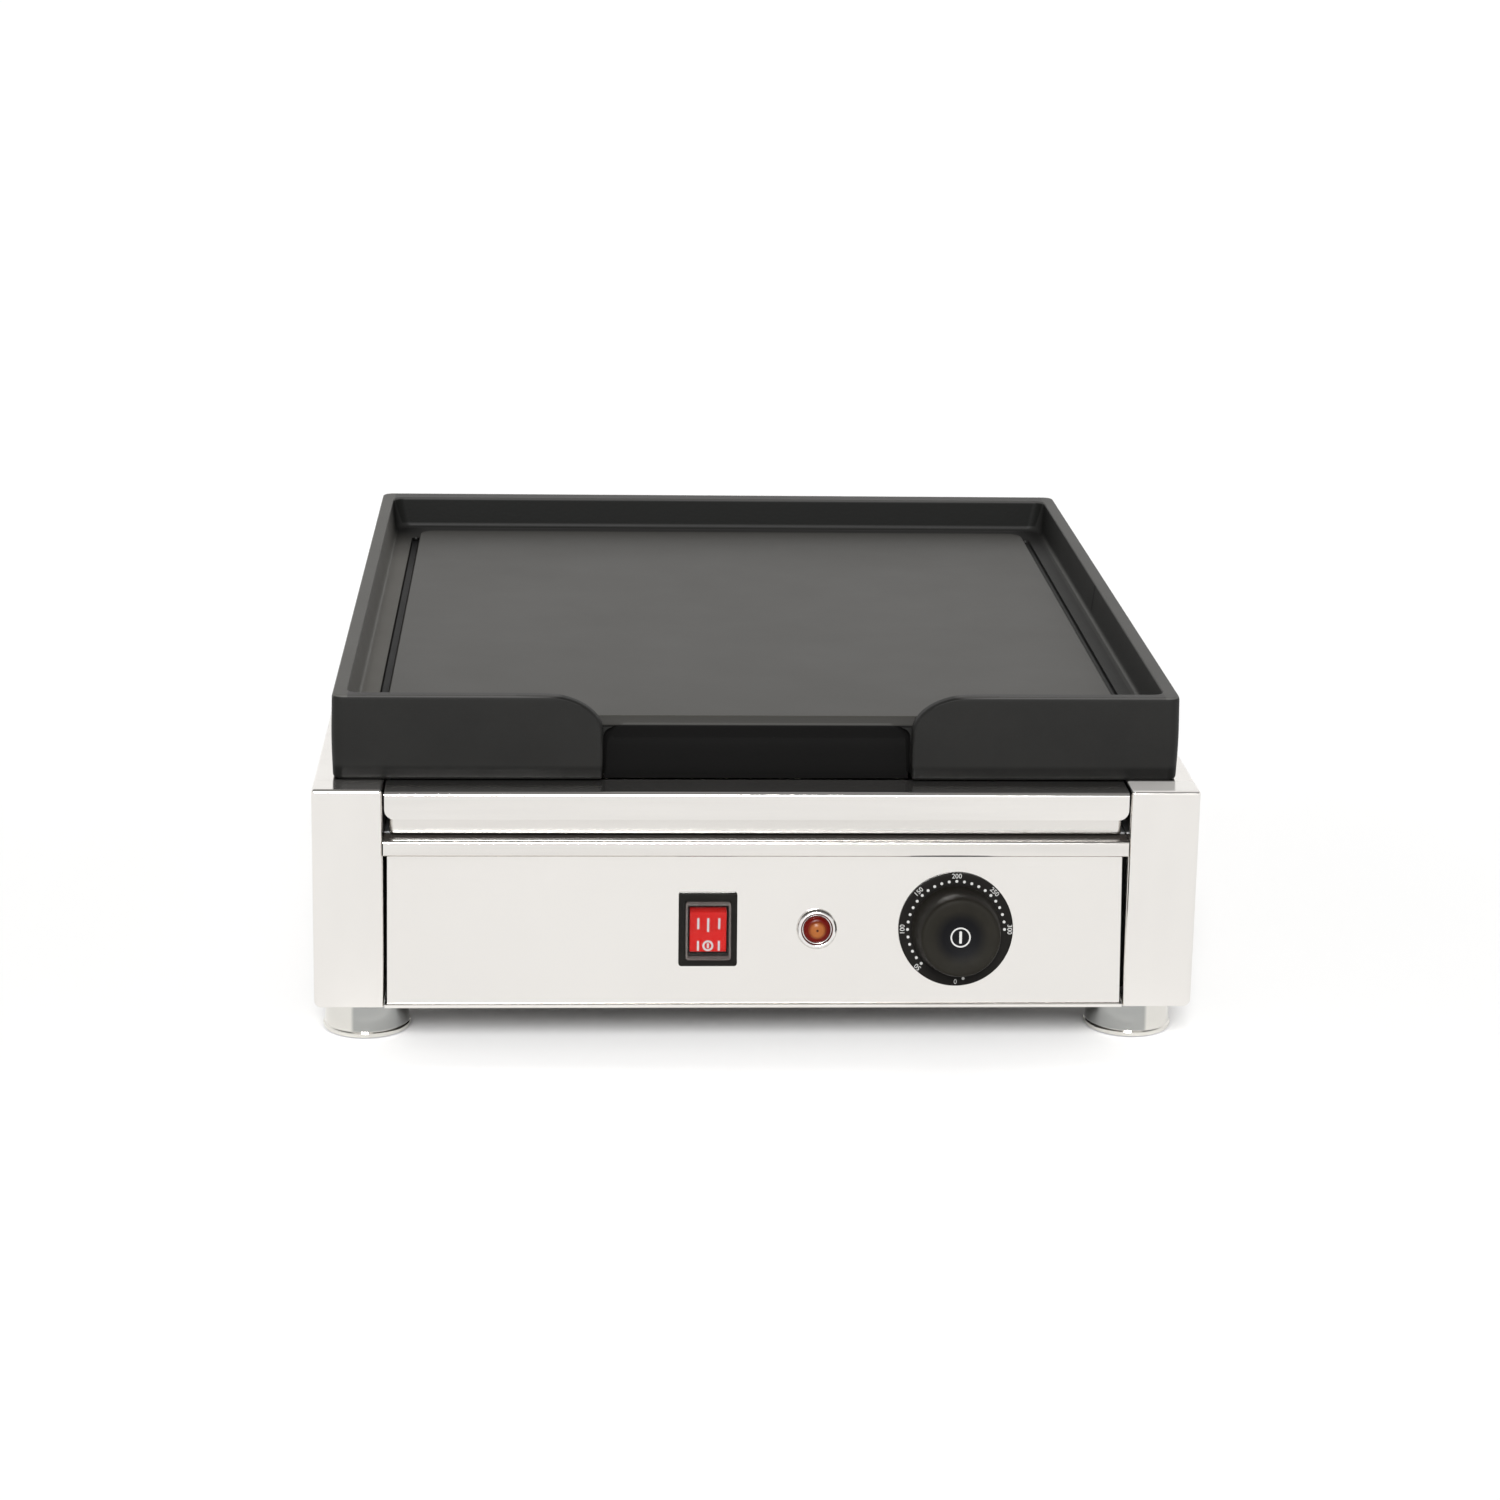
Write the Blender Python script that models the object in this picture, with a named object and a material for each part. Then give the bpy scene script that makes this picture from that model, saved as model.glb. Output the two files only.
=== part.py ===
"""Countertop electric flat top griddle, modelled as an assembly of named parts.

Metres, +Z up. The front faces -Y, and the origin is on the counter under the middle of the griddle.

Parts of the body are drawn as (x, depth, z): depth is measured back from the front plane of the two
columns, and the empty "body_frame" carries it to its place. Parts on the control panel are drawn as
(x, up the panel, out of the panel) around the empty "panel_frame", which leans back with the panel.
"""
import math

import bmesh
import bpy
from mathutils import Matrix, Vector

# Driving dimensions
GAP = 0.0003
SHEET = 0.0010

BODY_HALF_WIDTH = 0.2000
BODY_DEPTH = 0.4600
BASE_Z = 0.0256
COLUMN_TOP = 0.1290
COLUMN_INNER = 0.1685
BAY_HALF_WIDTH = COLUMN_INNER - GAP
BACK_SKIN = BODY_DEPTH - SHEET

FOOT_X = 0.1790
FOOT_DEPTHS = (0.0480, BODY_DEPTH - 0.0480)
FOOT_RADIUS = 0.0205
STUD_RADIUS = 0.0040

PLATE_BOTTOM = COLUMN_TOP + GAP
PLATE_TOP = 0.1685
PLATE_FRONT = 0.0148
PLATE_BACK = 0.4458
PLATE_HALF_WIDTH = 0.1923
GUTTER_Z = PLATE_TOP - 0.0168
GRIDDLE_Z = PLATE_TOP - 0.0132
GRIDDLE_HALF_WIDTH = 0.1683
SLAB_BOTTOM = 0.1440
NOTCH_HALF_WIDTH = 0.0700
NOTCH_DEPTH = 0.0276

ELEMENT_RADIUS = 0.0040
ELEMENT_Z = SLAB_BOTTOM - 2 * GAP - ELEMENT_RADIUS
CLAMP_TOP = ELEMENT_Z - ELEMENT_RADIUS - GAP
CLAMP_DEPTHS = (0.130, 0.330)
CLAMP_BOLT_X = 0.0950
PLATE_BOLT_X = 0.1770
PLATE_BOLT_DEPTHS = (0.0410, 0.4310)
BOLT_RADIUS = 0.0030

BAR_BOTTOM = 0.0976
BAR_TOP = 0.1051
PANEL_BOTTOM = 0.0278
PANEL_TOP = BAR_BOTTOM - GAP
PANEL_FOOT_DEPTH = 0.0006
PANEL_HEAD_DEPTH = 0.0105
PANEL_HALF_WIDTH = 0.1670
CONTROL_Z = 0.0618

TRAY_FRONT = 0.0080
TRAY_BACK = 0.1745
TRAY_HALF_WIDTH = 0.1660
TRAY_BOTTOM = 0.1058
TRAY_RIM = 0.1265
HANDLE_TOP = 0.1280
HANDLE_LIP = 0.1153
HANDLE_HALF_WIDTH = 0.1675
SHIELD_STEP = 0.1760
SHIELD_Z = 0.1188

SWITCH_X = -0.0219
PILOT_X = 0.0277
KNOB_X = 0.0912
KNOB_HEIGHT = 0.0220
KNOB_TOP_RADIUS = 0.0174
GLAND_X = -0.1100
GLAND_Z = 0.0620
GLAND_REACH = 0.0150
SCREW_HOLE_RADIUS = 0.0024
REAR_SCREW_X = 0.1200
REAR_SCREW_ZS = (BASE_Z + 0.0075, 0.1110)

# The panel's lean, and where the middle of the whole length lies behind the front plane
PANEL_TILT = math.atan2(PANEL_HEAD_DEPTH - PANEL_FOOT_DEPTH, PANEL_TOP - PANEL_BOTTOM)
CONTROL_DEPTH = PANEL_FOOT_DEPTH + (CONTROL_Z - PANEL_BOTTOM) * math.tan(PANEL_TILT)
KNOB_REACH = KNOB_HEIGHT * math.cos(PANEL_TILT) + KNOB_TOP_RADIUS * math.sin(PANEL_TILT) - CONTROL_DEPTH
FRONT_Y = -(BODY_DEPTH + GLAND_REACH - KNOB_REACH) / 2

STAINLESS = ((0.78, 0.77, 0.76), 0.22, 1.0)
GALVANISED = ((0.62, 0.63, 0.64), 0.42, 1.0)
CHROME = ((0.86, 0.86, 0.85), 0.08, 1.0)
ZINC = ((0.66, 0.66, 0.64), 0.32, 1.0)
CAST_IRON = ((0.060, 0.060, 0.056), 0.50, 0.2)
SHEATH = ((0.20, 0.19, 0.18), 0.45, 0.9)
FIBRE = ((0.86, 0.85, 0.80), 0.95, 0.0)
BLACK_PLASTIC = ((0.018, 0.018, 0.019), 0.35, 0.0)
RED_PLASTIC = ((0.62, 0.015, 0.012), 0.18, 0.0)
AMBER_LENS = ((0.60, 0.090, 0.030), 0.12, 0.0)
CLEAR = ((0.80, 0.80, 0.80), 0.10, 0.0)
CREAM_PLASTIC = ((0.80, 0.76, 0.66), 0.45, 0.0)
COPPER = ((0.72, 0.40, 0.26), 0.30, 1.0)
WIRE_BROWN = ((0.22, 0.10, 0.05), 0.45, 0.0)
WIRE_BLUE = ((0.04, 0.14, 0.45), 0.45, 0.0)
WIRE_WHITE = ((0.78, 0.78, 0.75), 0.55, 0.0)

AXES = {"X": (1, 2, 0), "Y": (0, 2, 1), "Z": (0, 1, 2)}


# Outlines

def corner_arc(before, corner, after, radius, steps):
    """The points that round one corner of an outline."""
    corner = Vector(corner)
    if radius <= 0:
        return [corner]
    to_before = (Vector(before) - corner).normalized()
    to_after = (Vector(after) - corner).normalized()
    half = to_before.angle(to_after) / 2
    centre = corner + (to_before + to_after).normalized() * (radius / math.sin(half))
    start = corner + to_before * (radius / math.tan(half)) - centre
    turn = math.pi - 2 * half
    if to_before.x * to_after.y - to_before.y * to_after.x > 0:
        turn = -turn
    return [centre + Matrix.Rotation(turn * step / steps, 2) @ start for step in range(steps + 1)]


def rounded(corners, steps=3):
    """A closed outline from corners (u, v, radius)."""
    outline = []
    for index, (u, v, radius) in enumerate(corners):
        before = corners[index - 1][:2]
        after = corners[(index + 1) % len(corners)][:2]
        outline += corner_arc(before, (u, v), after, radius, steps)
    return outline


def rectangle(low_u, low_v, high_u, high_v, radius=0.0, steps=3):
    """A closed rectangle, anticlockwise, with its corners rounded."""
    corners = [(low_u, low_v), (high_u, low_v), (high_u, high_v), (low_u, high_v)]
    return rounded([(u, v, radius) for u, v in corners], steps)


def circle(u, v, radius, steps):
    """A closed round outline."""
    angles = [math.tau * step / steps for step in range(steps)]
    return [(u + radius * math.cos(angle), v + radius * math.sin(angle)) for angle in angles]


def folded(path, bend, thickness=SHEET, steps=3):
    """The outline of a folded sheet. The path is its left face, and its bends have the outer radius bend."""
    points = [Vector(point) for point in path]
    ways = [(end - start).normalized() for start, end in zip(points, points[1:])]
    rights = [Vector((way.y, -way.x)) for way in ways]
    left = [points[0]]
    right = [points[0] + rights[0] * thickness]
    for index in range(1, len(points) - 1):
        mitre = rights[index - 1] + rights[index]
        inner = points[index] + mitre * (thickness / (1 + rights[index - 1].dot(rights[index])))
        turns_left = ways[index - 1].x * ways[index].y - ways[index - 1].y * ways[index].x > 0
        left_radius = bend - thickness if turns_left else bend
        right_radius = bend if turns_left else bend - thickness
        left += corner_arc(points[index - 1], points[index], points[index + 1], left_radius, steps)
        right += corner_arc(inner - ways[index - 1], inner, inner + ways[index], right_radius, steps)
    left.append(points[-1])
    right.append(points[-1] + rights[-1] * thickness)
    return left + right[::-1]


def smooth_route(points, pieces=3):
    """Points along a smooth curve through the given points."""
    knots = [Vector(point) for point in points]
    knots = [2 * knots[0] - knots[1]] + knots + [2 * knots[-1] - knots[-2]]
    route = []
    for a, b, c, d in zip(knots, knots[1:], knots[2:], knots[3:]):
        for piece in range(pieces):
            t = piece / pieces
            pull = (c - a) * t + (2 * a - 5 * b + 4 * c - d) * t ** 2 + (3 * b - a - 3 * c + d) * t ** 3
            route.append(b + pull / 2)
    return route + [knots[-2]]


# Solids

def skin(solid, lower, upper):
    """Faces between two rings of vertices. A ring of one vertex is a tip."""
    count = max(len(lower), len(upper))
    for index in range(count):
        after = index + 1
        corners = [lower[index % len(lower)], lower[after % len(lower)],
                   upper[after % len(upper)], upper[index % len(upper)]]
        solid.faces.new(list(dict.fromkeys(corners)))


def loft(rings, closed=False):
    """A solid through rings of points. A closed loft joins the last ring to the first, round a bore."""
    solid = bmesh.new()
    loops = [[solid.verts.new(point) for point in ring] for ring in rings]
    for lower, upper in zip(loops, loops[1:]):
        skin(solid, lower, upper)
    if closed:
        skin(solid, loops[-1], loops[0])
    else:
        for loop in (loops[0], loops[-1]):
            if len(loop) > 2:
                solid.faces.new(loop)
    bmesh.ops.recalc_face_normals(solid, faces=solid.faces)
    return solid


def ring_at(outline, level, axis):
    """An outline in the two other axes, set at a level along the axis."""
    first, second, along = AXES[axis]
    ring = []
    for u, v in outline:
        point = [0.0, 0.0, 0.0]
        point[first] = u
        point[second] = v
        point[along] = level
        ring.append(point)
    return ring


def prism(outline, low, high, axis):
    """A straight solid: the outline drawn from low to high along the axis."""
    return loft([ring_at(outline, low, axis), ring_at(outline, high, axis)])


def turned(profile, segments=24, closed=False, middle=(0.0, 0.0)):
    """A solid turned about Z from a profile of (radius, z). A closed profile leaves a bore."""
    rings = []
    for radius, z in profile:
        angles = [math.tau * index / segments for index in range(segments)] if radius else [0.0]
        rings.append([(middle[0] + radius * math.cos(angle), middle[1] + radius * math.sin(angle), z)
                      for angle in angles])
    return loft(rings, closed)


def round_hole(x, y, low, high, radius, segments=12):
    """A cutter for a drilled hole along Z."""
    return turned([(0, low), (radius, low), (radius, high), (0, high)], segments, middle=(x, y))


def gather(solids):
    """Several separate solids as one mesh."""
    whole = bmesh.new()
    for solid in solids:
        mesh = bpy.data.meshes.new("piece")
        solid.to_mesh(mesh)
        solid.free()
        whole.from_mesh(mesh)
        bpy.data.meshes.remove(mesh)
    return whole


# Objects

def empty(name, location, parent=None, tilt=0.0):
    frame = bpy.data.objects.new(name, None)
    frame.location = location
    frame.rotation_euler = (tilt, 0.0, 0.0)
    frame.parent = parent
    bpy.context.collection.objects.link(frame)
    return frame


def finish(name, look):
    colour, roughness, metallic = look
    material = bpy.data.materials.new(name)
    material.use_nodes = True
    shader = material.node_tree.nodes["Principled BSDF"]
    shader.inputs["Base Color"].default_value = (*colour, 1.0)
    shader.inputs["Roughness"].default_value = roughness
    shader.inputs["Metallic"].default_value = metallic
    material.diffuse_color = (*colour, 1.0)
    return material


def add(name, solid, look, parent, location=(0, 0, 0), rotation=(0, 0, 0)):
    """One named sub-part with its own material."""
    mesh = bpy.data.meshes.new(name)
    solid.to_mesh(mesh)
    solid.free()
    mesh.shade_smooth()
    mesh.set_sharp_from_angle(angle=math.radians(32))
    mesh.materials.append(finish(name, look))
    part = bpy.data.objects.new(name, mesh)
    part.parent = parent
    part.location = location
    part.rotation_euler = rotation
    bpy.context.collection.objects.link(part)
    return part


def copy_of(part, name, location):
    """The same piece in another place, sharing its mesh."""
    twin = bpy.data.objects.new(name, part.data)
    twin.parent = part.parent
    twin.location = location
    twin.rotation_euler = part.rotation_euler
    bpy.context.collection.objects.link(twin)
    return twin


def carve(part, name, solids, parent, operation="DIFFERENCE"):
    """Cuts the solids out of the part, or joins them to it. They are drawn in the parent's frame."""
    mesh = bpy.data.meshes.new(name)
    whole = gather(solids)
    whole.to_mesh(mesh)
    whole.free()
    cutter = bpy.data.objects.new(name, mesh)
    cutter.parent = parent
    cutter.hide_render = True
    cutter.display_type = "WIRE"
    bpy.context.collection.objects.link(cutter)
    modifier = part.modifiers.new(name, "BOOLEAN")
    modifier.operation = operation
    modifier.solver = "EXACT"
    modifier.object = cutter


def add_tube(name, points, radius, look, parent, sides=6, swell=()):
    """A round tube or wire along the points. The first points can be swollen by the given factors."""
    curve = bpy.data.curves.new(name, "CURVE")
    curve.dimensions = "3D"
    curve.bevel_depth = radius
    curve.bevel_resolution = (sides - 4) // 2
    curve.use_fill_caps = True
    spline = curve.splines.new("POLY")
    spline.points.add(len(points) - 1)
    for target, point in zip(spline.points, points):
        target.co = (*point, 1.0)
    for target, factor in zip(spline.points, swell):
        target.radius = factor
    curve.materials.append(finish(name, look))
    tube = bpy.data.objects.new(name, curve)
    tube.parent = parent
    bpy.context.collection.objects.link(tube)
    return tube


# Body

def make_columns(body):
    """Box columns, welded shut at the front and open behind, with holes for feet and plate bolts."""
    corner_radii = (0.0035, 0.0015, 0.0015, 0.0010)

    def ring(side, depth, inset):
        spots = [(BODY_HALF_WIDTH - inset, BASE_Z + inset), (BODY_HALF_WIDTH - inset, COLUMN_TOP - inset),
                 (COLUMN_INNER + inset, COLUMN_TOP - inset), (COLUMN_INNER + inset, BASE_Z + inset)]
        corners = [(side * x, z, max(radius - inset, 0.0002)) for (x, z), radius in zip(spots, corner_radii)]
        return ring_at(rounded(corners), depth, "Y")

    for side, word in ((-1, "left"), (1, "right")):
        back = BACK_SKIN - GAP
        rings = [ring(side, 0.0, 0.0012), ring(side, 0.0004, 0.0004), ring(side, 0.0012, 0.0),
                 ring(side, back, 0.0), ring(side, back, SHEET), ring(side, SHEET, SHEET)]
        column = add("side_column_" + word, loft(rings), STAINLESS, body)
        holes = [round_hole(side * FOOT_X, depth, BASE_Z - 0.002, BASE_Z + 0.003, STUD_RADIUS + GAP)
                 for depth in FOOT_DEPTHS]
        holes += [round_hole(side * PLATE_BOLT_X, depth, COLUMN_TOP - 0.003, COLUMN_TOP + 0.002,
                             BOLT_RADIUS + GAP) for depth in PLATE_BOLT_DEPTHS]
        carve(column, "column_holes_" + word, holes, body)


def make_base_plate(body):
    """The bottom sheet with a hem in front, a flange behind and vent slots."""
    back = BACK_SKIN - GAP
    hem_top = BASE_Z + 0.0019
    flange_top = BASE_Z + 0.0150
    floor = BASE_Z + SHEET
    corners = [(0.0, BASE_Z, 0.0006), (back, BASE_Z, 0.0), (back, flange_top, 0.0),
               (back - SHEET, flange_top, 0.0), (back - SHEET, floor, 0.0), (0.012, floor, 0.0),
               (0.012, hem_top, 0.0), (0.0, hem_top, 0.0006)]
    base = add("base_plate", prism(rounded(corners), -BAY_HALF_WIDTH, BAY_HALF_WIDTH, "X"), STAINLESS, body)
    slots = []
    for row in (0.150, 0.260):
        for place in range(7):
            x = (place - 3) * 0.030
            outline = rectangle(x - 0.003, row, x + 0.003, row + 0.060, 0.0020, 1)
            slots.append(prism(outline, BASE_Z - 0.002, floor + 0.002, "Z"))
    for x in (-REAR_SCREW_X, REAR_SCREW_X):
        slots.append(screw_hole(x, REAR_SCREW_ZS[0]))
    carve(base, "base_openings", slots, body)


def screw_hole(x, z):
    """A cutter along Y through the sheets at the back."""
    return prism(circle(x, z, SCREW_HOLE_RADIUS, 8), BACK_SKIN - 0.004, BODY_DEPTH + 0.002, "Y")


def make_rear_panel(body):
    """The back skin and the ledge it folds into behind the plate, with vents, gland and screw holes."""
    outline = rectangle(-0.1995, BASE_Z + 0.0006, 0.1995, COLUMN_TOP - 0.0006, 0.0035)
    rear = add("rear_panel", prism(outline, BACK_SKIN, BODY_DEPTH, "Y"), STAINLESS, body)
    ledge = rectangle(-0.1675, 0.4300, 0.1675, BACK_SKIN + SHEET / 2, 0.0)
    carve(rear, "rear_ledge", [prism(ledge, COLUMN_TOP - 0.0017, COLUMN_TOP - 0.0007, "Z")], body, "UNION")
    openings = []
    for bank in (-0.030, 0.090):
        for place in range(6):
            x = bank + (place - 2.5) * 0.011
            slot = rectangle(x - 0.0022, 0.062, x + 0.0022, 0.096, 0.0015, 1)
            openings.append(prism(slot, BACK_SKIN - 0.002, BODY_DEPTH + 0.002, "Y"))
    openings.append(prism(circle(GLAND_X, GLAND_Z, 0.0082, 16), BACK_SKIN - 0.002, BODY_DEPTH + 0.002, "Y"))
    spots = [(x, z) for x in (-REAR_SCREW_X, REAR_SCREW_X) for z in REAR_SCREW_ZS]
    openings += [screw_hole(x, z) for x, z in spots]
    carve(rear, "rear_openings", openings, body)

    profile = [(0, -0.006), (0.0020, -0.006), (0.0020, GAP), (0.0042, GAP), (0.0038, 0.0018),
               (0.0022, 0.0026), (0, 0.0028)]
    facing_back = (math.radians(-90), 0, 0)
    seats = [(x, BODY_DEPTH, z) for x, z in spots]
    first = add("rear_screw_1", turned(profile, 10), ZINC, body, seats[0], facing_back)
    for number, seat in enumerate(seats[1:], 2):
        copy_of(first, "rear_screw_%d" % number, seat)


def make_front_bar(body):
    """The folded bar between the columns, under the tray."""
    path = [(0.0120, BAR_BOTTOM), (0.0, BAR_BOTTOM), (0.0, BAR_TOP), (0.0130, BAR_TOP)]
    bar = prism(folded(path, 0.0014), -BAY_HALF_WIDTH, BAY_HALF_WIDTH, "X")
    add("front_bar", bar, STAINLESS, body)


def make_control_panel(body, panel):
    """The leaning panel, with flanges at its head and foot and cutouts for the controls."""
    path = [(0.0200, PANEL_BOTTOM), (PANEL_FOOT_DEPTH, PANEL_BOTTOM), (PANEL_HEAD_DEPTH, PANEL_TOP),
            (0.0240, PANEL_TOP)]
    sheet = prism(folded(path, 0.0012), -PANEL_HALF_WIDTH, PANEL_HALF_WIDTH, "X")
    face = add("control_panel", sheet, STAINLESS, body)
    switch = rectangle(SWITCH_X - 0.0111, -0.0151, SWITCH_X + 0.0111, 0.0151)
    cutouts = [prism(switch, -0.004, 0.004, "Z"),
               round_hole(PILOT_X, 0, -0.004, 0.004, 0.0063, 20),
               round_hole(KNOB_X, 0, -0.004, 0.004, 0.0045, 16)]
    for side in (-1, 1):
        cutouts.append(round_hole(KNOB_X + side * 0.014, 0, -0.004, 0.004, 0.0023, 8))
    carve(face, "panel_cutouts", cutouts, panel)


def make_feet(body):
    """Chromed cup feet on studs, each held by a nut inside its column."""
    low, high = BASE_Z - GAP, BASE_Z + 0.0140
    foot = [(0, 0), (0.0190, 0), (FOOT_RADIUS, 0.0008), (FOOT_RADIUS, 0.0022), (0.0198, 0.0032),
            (0.0193, 0.0090), (0.0182, 0.0165), (0.0163, 0.0215), (0.0130, 0.0244), (0.0095, low),
            (STUD_RADIUS, low), (STUD_RADIUS, high), (0, high)]
    nut = [(0.0050, 0), (0.0075, 0), (0.0075, 0.0065), (0.0050, 0.0065)]
    nut_z = BASE_Z + SHEET + GAP
    places = [("front_left", -1, 0), ("front_right", 1, 0), ("rear_left", -1, 1), ("rear_right", 1, 1)]
    first_foot = None
    for word, side, row in places:
        x, depth = side * FOOT_X, FOOT_DEPTHS[row]
        if first_foot is None:
            first_foot = add("foot_" + word, turned(foot, 20), CHROME, body, (x, depth, 0))
            first_nut = add("foot_nut_" + word, turned(nut, 6, True), ZINC, body, (x, depth, nut_z))
        else:
            copy_of(first_foot, "foot_" + word, (x, depth, 0))
            copy_of(first_nut, "foot_nut_" + word, (x, depth, nut_z))


# Cast iron plate and its heating

def plate_ring(half_width, front, back, radius, z):
    return ring_at(rectangle(-half_width, front, half_width, back, radius), z, "Z")


def make_griddle_plate(body):
    """The cast plate: a skirt below, a raised rim above, gutters round the cooking surface, a front notch."""
    front, back, side = PLATE_FRONT, PLATE_BACK, PLATE_HALF_WIDTH
    rings = [
        (0.1820, 0.0360, 0.4360, 0.034, SLAB_BOTTOM),
        (0.1826, 0.0354, 0.4366, 0.034, PLATE_BOTTOM),
        (side - 0.0027, front + 0.0020, back - 0.0018, 0.004, PLATE_BOTTOM),
        (side - 0.0017, front + 0.0011, back - 0.0009, 0.005, PLATE_BOTTOM + 0.0012),
        (side, front, back, 0.006, PLATE_BOTTOM + 0.0200),
        (side - 0.0011, front + 0.0007, back - 0.0006, 0.005, PLATE_TOP - 0.0020),
        (side - 0.0016, front + 0.0011, back - 0.0010, 0.005, PLATE_TOP - 0.0007),
        (side - 0.0026, front + 0.0021, back - 0.0020, 0.004, PLATE_TOP),
        (0.1856, 0.0209, 0.4335, 0.005, PLATE_TOP),
        (0.1847, 0.0217, 0.4324, 0.006, PLATE_TOP - 0.0007),
        (0.1839, 0.0225, 0.4314, 0.007, GUTTER_Z + 0.0026),
        (0.1830, 0.0232, 0.4306, 0.007, GUTTER_Z + 0.0007),
        (0.1813, 0.0248, 0.4289, 0.007, GUTTER_Z),
        (0.1693, 0.0274, 0.4082, 0.008, GUTTER_Z),
        (GRIDDLE_HALF_WIDTH + 0.0006, 0.0299, 0.4075, 0.008, GRIDDLE_Z - 0.0007),
        (GRIDDLE_HALF_WIDTH, 0.0309, 0.4069, 0.008, GRIDDLE_Z),
    ]
    plate = add("griddle_plate", loft([plate_ring(*ring) for ring in rings]), CAST_IRON, body)

    low, high = PLATE_BOTTOM - 0.005, PLATE_TOP + 0.005
    half = NOTCH_HALF_WIDTH
    slot = rounded([(-half, 0.008, 0), (half, 0.008, 0),
                    (half, NOTCH_DEPTH, 0.005), (-half, NOTCH_DEPTH, 0.005)])
    carve(plate, "notch_slot", [prism(slot, low, high, "Z")], body)

    flare_wide, flare_tall = 0.0270, 0.0172
    right_ear = [(half + flare_wide * (1 - math.cos(angle)), PLATE_TOP - flare_tall * (1 - math.sin(angle)))
                 for angle in [math.radians(90) * step / 6 for step in range(7)]]
    flare = [(half, GUTTER_Z - 0.006)] + right_ear + [(half + flare_wide, high)]
    outline = [(-x, z) for x, z in flare] + flare[::-1]
    carve(plate, "notch_flare", [prism(outline, 0.010, 0.0242, "Y")], body)

    grooves = []
    for side_sign in (-1, 1):
        xs = sorted((side_sign * 0.1696, side_sign * 0.1734))
        outline = rectangle(xs[0], 0.0310, xs[1], 0.4060, 0.0018, 2)
        grooves.append(prism(outline, GUTTER_Z - 0.0017, GUTTER_Z + 0.0015, "Z"))
    carve(plate, "side_grooves", grooves, body)

    holes = [round_hole(x, depth, PLATE_BOTTOM - 0.002, PLATE_BOTTOM + 0.012, BOLT_RADIUS + GAP)
             for x in (-PLATE_BOLT_X, PLATE_BOLT_X) for depth in PLATE_BOLT_DEPTHS]
    holes += [round_hole(x, depth, SLAB_BOTTOM - 0.002, SLAB_BOTTOM + 0.005, BOLT_RADIUS + GAP)
              for x in (-CLAMP_BOLT_X, CLAMP_BOLT_X) for depth in CLAMP_DEPTHS]
    carve(plate, "bolt_holes", holes, body)


def make_plate_bolts(body):
    """Four bolts inside the columns that hold the plate down from below."""
    head_top = COLUMN_TOP - SHEET - GAP
    profile = [(0, -0.0040), (0.0054, -0.0040), (0.0054, 0),
               (BOLT_RADIUS, 0), (BOLT_RADIUS, 0.0125), (0, 0.0125)]
    spots = [(x, depth, head_top) for x in (-PLATE_BOLT_X, PLATE_BOLT_X) for depth in PLATE_BOLT_DEPTHS]
    first = add("plate_bolt_1", turned(profile, 10), ZINC, body, spots[0])
    for number, spot in enumerate(spots[1:], 2):
        copy_of(first, "plate_bolt_%d" % number, spot)


def element_route(side):
    """A heating tube under the plate: four runs and three bends, with both ends turned down at the back."""
    runs = [side * x for x in (0.155, 0.115, 0.075, 0.035)]
    bend = 0.020
    near, far, tail = 0.078, 0.382, 0.422
    turn_down = [(tail, 0.1060), (tail, ELEMENT_Z - 0.010), (tail - 0.003, ELEMENT_Z - 0.003),
                 (tail - 0.010, ELEMENT_Z)]
    points = [(runs[0], depth, z) for depth, z in turn_down]
    for index, turn_depth in enumerate((near, far, near)):
        middle = (runs[index] + runs[index + 1]) / 2
        sign = -1 if turn_depth == near else 1
        start = math.copysign(1, runs[index] - runs[index + 1])
        for step in range(7):
            angle = math.pi * step / 6
            points.append((middle + start * bend * math.cos(angle),
                           turn_depth + sign * bend * math.sin(angle), ELEMENT_Z))
    return points + [(runs[3], depth, z) for depth, z in reversed(turn_down)]


def make_elements(body):
    """Two tubular heating elements, two clamp bars under them and the four clamp bolts."""
    for side, word in ((-1, "left"), (1, "right")):
        add_tube("heating_element_" + word, element_route(side), ELEMENT_RADIUS, SHEATH, body, 8)
    for depth, word in zip(CLAMP_DEPTHS, ("front", "rear")):
        outline = rectangle(-0.168, depth - 0.010, 0.168, depth + 0.010, 0.004)
        strip = prism(outline, CLAMP_TOP - 0.0020, CLAMP_TOP, "Z")
        bar = add("element_clamp_" + word, strip, GALVANISED, body)
        holes = [round_hole(x, depth, CLAMP_TOP - 0.004, CLAMP_TOP + 0.002, BOLT_RADIUS + GAP)
                 for x in (-CLAMP_BOLT_X, CLAMP_BOLT_X)]
        carve(bar, "clamp_holes_" + word, holes, body)
    seat = CLAMP_TOP - 0.0020 - GAP
    reach = SLAB_BOTTOM + 0.0045 - seat
    profile = [(0, -0.0038), (0.0056, -0.0038), (0.0056, 0),
               (BOLT_RADIUS, 0), (BOLT_RADIUS, reach), (0, reach)]
    spots = [(x, depth, seat) for x in (-CLAMP_BOLT_X, CLAMP_BOLT_X) for depth in CLAMP_DEPTHS]
    first = add("clamp_bolt_1", turned(profile, 10), ZINC, body, spots[0])
    for number, spot in enumerate(spots[1:], 2):
        copy_of(first, "clamp_bolt_%d" % number, spot)


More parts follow.
